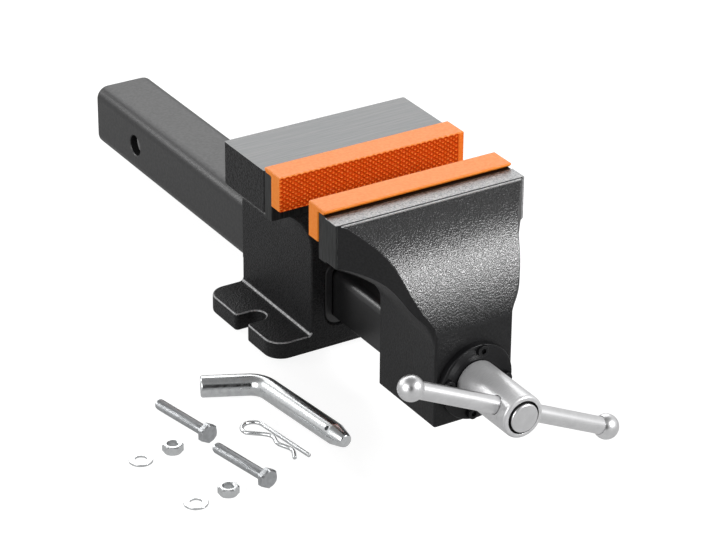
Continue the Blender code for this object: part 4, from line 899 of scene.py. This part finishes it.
def make_clip():
    """The spring clip in millimetres: a straight leg, a loop, and a leg that waves beside it. The wave is a
    cubic through its key points whose slope at each is half the step between its neighbours."""
    length, loop_radius, wire = 54, 8, 1.5 * MM
    loop = arc((0, 0), loop_radius, 90, 285, 24)
    waves = np.array(((0.29, 0.42), (0.51, 0.1), (0.74, 0.42), (0.93, -0.25))) * (length, loop_radius)
    keys = np.concatenate((loop[-1:], waves))
    keys = np.concatenate((2 * keys[:1] - keys[1:2], keys, 2 * keys[-1:] - keys[-2:-1]))
    t = np.linspace(0, 1, 12, endpoint=False)[None, :, None]
    before, start, stop, after = (keys[i:len(keys) - 3 + i, None] for i in range(4))
    curve = 0.5 * (2 * start + (stop - before) * t + (2 * before - 5 * start + 4 * stop - after) * t ** 2
                   + (3 * start - before - 3 * stop + after) * t ** 3)
    leg = np.column_stack((np.linspace(length, 4, 8), np.full(8, loop_radius)))
    path = np.concatenate((leg, loop[:-1], curve.reshape(-1, 2), waves[-1:])) * MM
    along = heading(-82.5)
    flat = np.array((-129, -126)) * MM + path @ np.array((along, (-along[1], along[0])))
    path, radii = softened(np.column_stack((flat, np.full(len(flat), wire))), wire, 0.6 * MM)
    clip = skin("spring_clip", swept(path, radii, 20))
    dressed(clip, "fixed_half", zinc_plate, "zinc_plate", "hitch_pin_clip")


def make_bolt(k, x, y):
    """A hex bolt: a threaded shaft and a head whose corners are cut by a cone, as one grid about its sloping
    axis."""
    direction = unit(np.array((*(heading(-82) * 55), 2.5)))
    place = np.array((x, y, 4.3)) * MM
    tip = turned([(0, 0), (0, 2.9 * MM)], place, direction, 48)
    shaft = threaded(0, 53.5 * MM, 4 * MM, 1.25 * MM, 0.55 * MM, place, direction, 48)
    head = np.array([(54, 3.9), (55, 3.9), (55, 5.9), (55.25, 6.1), (55.25, 7.6), (59, 7.6), (59.9, 6.3),
                     (60.3, 5.9), (60.3, 0)]) * MM
    flats = [ROUND] * 4 + [HEX_FLATS] * 3 + [ROUND] * 2
    bolt = skin(f"hex_bolt_{k}", np.concatenate((tip, shaft, turned(head, place, direction, 48, flats))))
    dressed(bolt, "fixed_half", dull_zinc, "zinc_plate", f"mount_bolt_{k}")


def make_nut(k, x, y):
    """A hex nut: its outside the smaller of a hexagon and two chamfer cones, its bore countersunk at both
    ends."""
    corners = np.array([(0, 6.2), (0.75, 7.55), (5.75, 7.55), (6.5, 6.2), (6.5, 4.5), (5.9, 3.7), (0.6, 3.7),
                        (0, 4.5)]) * MM
    flats = [HEX_FLATS] * 4 + [ROUND] * 4
    nut = skin(f"hex_nut_{k}", turned(corners, (x * MM, y * MM, 0), (0, 0, 1), 96, flats), joined=True)
    dressed(nut, "fixed_half", zinc_plate, "zinc_plate", f"mount_nut_{k}")


def make_washer(k, x, y):
    """A flat washer: its profile with punched edges, softer on top, turned."""
    profile = closed_profile([(0, 4.3), (0, 8.5), (1.6, 8.5), (1.6, 4.3)], [0.2, 0.2, 0.4, 0.25], 4)
    washer = skin(f"flat_washer_{k}", turned(profile, (x * MM, y * MM, 0), (0, 0, 1), 72), joined=True)
    dressed(washer, "fixed_half", zinc_plate, "zinc_plate", f"mount_washer_{k}")


fixed_casting()
make_shank()
for side, inward, body in (("fixed", 1, "fixed_half"), ("moving", -1, "sliding_half")):
    make_plate(side, inward, body)
    make_cap(side, -inward, body)
moving_casting()
make_slide()
make_flange()
for side, angle in FLANGE_SCREWS.items():
    make_flange_screw(side, angle)
make_spindle_head()
make_spindle_screw()
make_handle()
make_pin()
make_clip()

# Places of the loose fasteners on the floor, in millimetres
for k, bolt, nut, washer in ((1, (-172, -67), (-191, -123), (-216, -123)),
                             (2, (-166, -140), (-185, -191), (-210, -191))):
    make_bolt(k, *bolt)
    make_nut(k, *nut)
    make_washer(k, *washer)

# The nodes that are shown as they are: bronze where the screw rubs, zinc on the magnets, else black oxide
bearings = {"lead_nut": bronze, "thrust_washer": bronze}
for name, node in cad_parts.items():
    finish = bearings.get(name, zinc_plate if "magnet" in name else black_oxide)
    for slot in node.material_slots:
        slot.material = finish


# Floor, light and camera

FLOOR_GLOW_SEEN = 0.9
FLOOR_GLOW_MIRRORED = 0.35
DIM_SIDE = (-0.465, -0.755, 0.462)      # unit heading of the dark doorway that the picture is taken from
DIM_EDGES = (0.86, 0.97)                # cosines between which it opens
WALL_TOP = (0.0, 0.15)                  # the walls brighten to the ceiling between these heights
OVERHEAD = (0.62, 0.9)                  # and darken again overhead
ROOM_BRIGHT, ROOM_WALL, ROOM_DIM, ROOM_OVERHEAD, ROOM_FILL = 0.8, 0.6, 0.0, 0.35, 0.23
HOLLOW_PLACE, HOLLOW_SIZE, HOLLOW_DEPTH = (0.11, -0.34), (0.16, 0.21), 0.045
FLOOR_REACH, FLOOR_STEPS, FLOOR_DROP = 3, 160, 0.2 * MM


def make_floor():
    """A wide floor at the base's foot with a smooth hollow below the handle, so that the tilted bar swings
    clear: depth times a smooth step of the distance from the hollow's middle."""
    side = np.linspace(-FLOOR_REACH, FLOOR_REACH, FLOOR_STEPS + 1)
    x, y = np.meshgrid(side, side)
    away = np.hypot((x - HOLLOW_PLACE[0]) / HOLLOW_SIZE[0], (y - HOLLOW_PLACE[1]) / HOLLOW_SIZE[1])
    t = np.clip(2 - away, 0, 1)
    grid = np.stack((x, y, -HOLLOW_DEPTH * t * t * (3 - 2 * t) - FLOOR_DROP), -1)
    index = np.arange(x.size).reshape(x.shape)
    quads = np.stack((index[:-1, :-1], index[:-1, 1:], index[1:, 1:], index[1:, :-1]), -1).reshape(-1, 4)
    mesh = bpy.data.meshes.new("floor")
    mesh.from_pydata(grid.reshape(-1, 3).tolist(), [], quads.tolist())
    mesh.shade_smooth()
    floor = bpy.data.objects.new("floor", mesh)
    bpy.context.scene.collection.objects.link(floor)
    material = bpy.data.materials.new("white_paper_floor")
    material.use_nodes = True
    tree = material.node_tree
    tree.nodes.clear()
    rays = add_node(tree, "ShaderNodeLightPath").outputs
    shares = []
    for ray, glow in (("Is Camera Ray", FLOOR_GLOW_SEEN), ("Is Glossy Ray", FLOOR_GLOW_MIRRORED)):
        share = add_node(tree, "ShaderNodeMath", {1: glow}, {0: rays[ray]}, operation="MULTIPLY")
        shares.append(share.outputs[0])
    glow = add_node(tree, "ShaderNodeMath", None, dict(enumerate(shares)), operation="ADD").outputs[0]
    light = add_node(tree, "ShaderNodeEmission", None, {"Strength": glow})
    paper = add_node(tree, "ShaderNodeBsdfDiffuse", {"Color": linear("8C8C8C")})
    both = add_node(tree, "ShaderNodeAddShader", None, {0: light.outputs[0], 1: paper.outputs[0]})
    add_node(tree, "ShaderNodeOutputMaterial", None, {"Surface": both.outputs[0]})
    mesh.materials.append(material)


def make_world():
    """A white room, plainly white to the camera. To reflections it is greyer low down and overhead, and it
    has a dark doorway; it is the product of three smooth steps, of the cosine to the doorway and twice of
    height."""
    world = bpy.data.worlds.new("white_studio")
    world.use_nodes = True
    bpy.context.scene.world = world
    tree = world.node_tree
    tree.nodes.clear()
    place = add_node(tree, "ShaderNodeTexCoord").outputs["Generated"]
    towards = add_node(tree, "ShaderNodeVectorMath", {1: DIM_SIDE}, {0: place}, operation="DOT_PRODUCT")
    up = add_node(tree, "ShaderNodeSeparateXYZ", None, {0: place}).outputs["Z"]
    steps = []
    for value, edges, levels in ((towards.outputs["Value"], DIM_EDGES, (1.0, ROOM_DIM)),
                                 (up, WALL_TOP, (ROOM_WALL, ROOM_BRIGHT)),
                                 (up, OVERHEAD, (1.0, ROOM_OVERHEAD))):
        between = dict(zip(("From Min", "From Max", "To Min", "To Max"), edges + levels))
        step = add_node(tree, "ShaderNodeMapRange", between, {"Value": value},
                        interpolation_type="SMOOTHSTEP")
        steps.append(step.outputs[0])
    doorway, wall, above = steps
    lit = add_node(tree, "ShaderNodeMath", None, {0: above, 1: wall}, operation="MULTIPLY").outputs[0]
    room = add_node(tree, "ShaderNodeMath", None, {0: doorway, 1: lit}, operation="MULTIPLY").outputs[0]
    rays = add_node(tree, "ShaderNodeLightPath").outputs
    soft = add_node(tree, "ShaderNodeMix", {2: ROOM_FILL}, {0: rays["Is Glossy Ray"], 3: room}).outputs[0]
    shown = add_node(tree, "ShaderNodeMix", {3: 1.0}, {0: rays["Is Camera Ray"], 2: soft}).outputs[0]
    light = add_node(tree, "ShaderNodeBackground", {"Color": (1, 1, 1, 1)}, {"Strength": shown}).outputs[0]
    add_node(tree, "ShaderNodeOutputWorld", None, {"Surface": light})


def soft_box(name, towards, distance, width, height, power):
    """A rectangular lamp at a distance from the vise's middle, turned to face it."""
    lamp = bpy.data.lights.new(name, "AREA")
    lamp.shape, lamp.size, lamp.size_y, lamp.energy = "RECTANGLE", width, height, power
    thing = bpy.data.objects.new(name, lamp)
    bpy.context.scene.collection.objects.link(thing)
    back = unit(np.array(towards, float))
    right = unit(np.cross((0.0, 0.0, 1.0), back))
    turn = Matrix(np.column_stack((right, np.cross(back, right), back)).tolist())
    aim = np.array((0.0, -0.12, 0.08))
    thing.matrix_world = Matrix.Translation(aim + back * distance) @ turn.to_4x4()


make_floor()
make_world()
soft_box("key_light", (0.5, -0.7, 0.51), 1.3, 0.42, 0.42, 12)
soft_box("back_light", (0.35, 0.8, 0.55), 1.6, 1.6, 0.9, 8.5)
soft_box("side_light", (-0.88, -0.2, 0.4), 1.5, 0.9, 0.9, 10)
soft_box("rim_light", (-0.5, 0.76, 0.42), 1.5, 0.4, 0.6, 5)

# The camera's place and its right, up and back directions, fitted to the edges in the photograph
camera = bpy.data.objects.new("camera", bpy.data.cameras.new("camera"))
bpy.context.scene.collection.objects.link(camera)
camera.data.sensor_fit, camera.data.sensor_width, camera.data.lens = "HORIZONTAL", 36, 150.84
axes = ((0.853441168, -0.521137776, 0.007320594), (0.235476129, 0.398081970, 0.886612507),
        (-0.464961467, -0.754947789, 0.462455047))
place = Matrix.Translation((-1.01667616, -1.70556963, 1.07116865))
camera.matrix_world = place @ Matrix(axes).transposed().to_4x4()
camera.data.clip_start, camera.data.clip_end = 0.1, 20
bpy.context.scene.camera = camera
bpy.context.scene.view_settings.view_transform = "Standard"
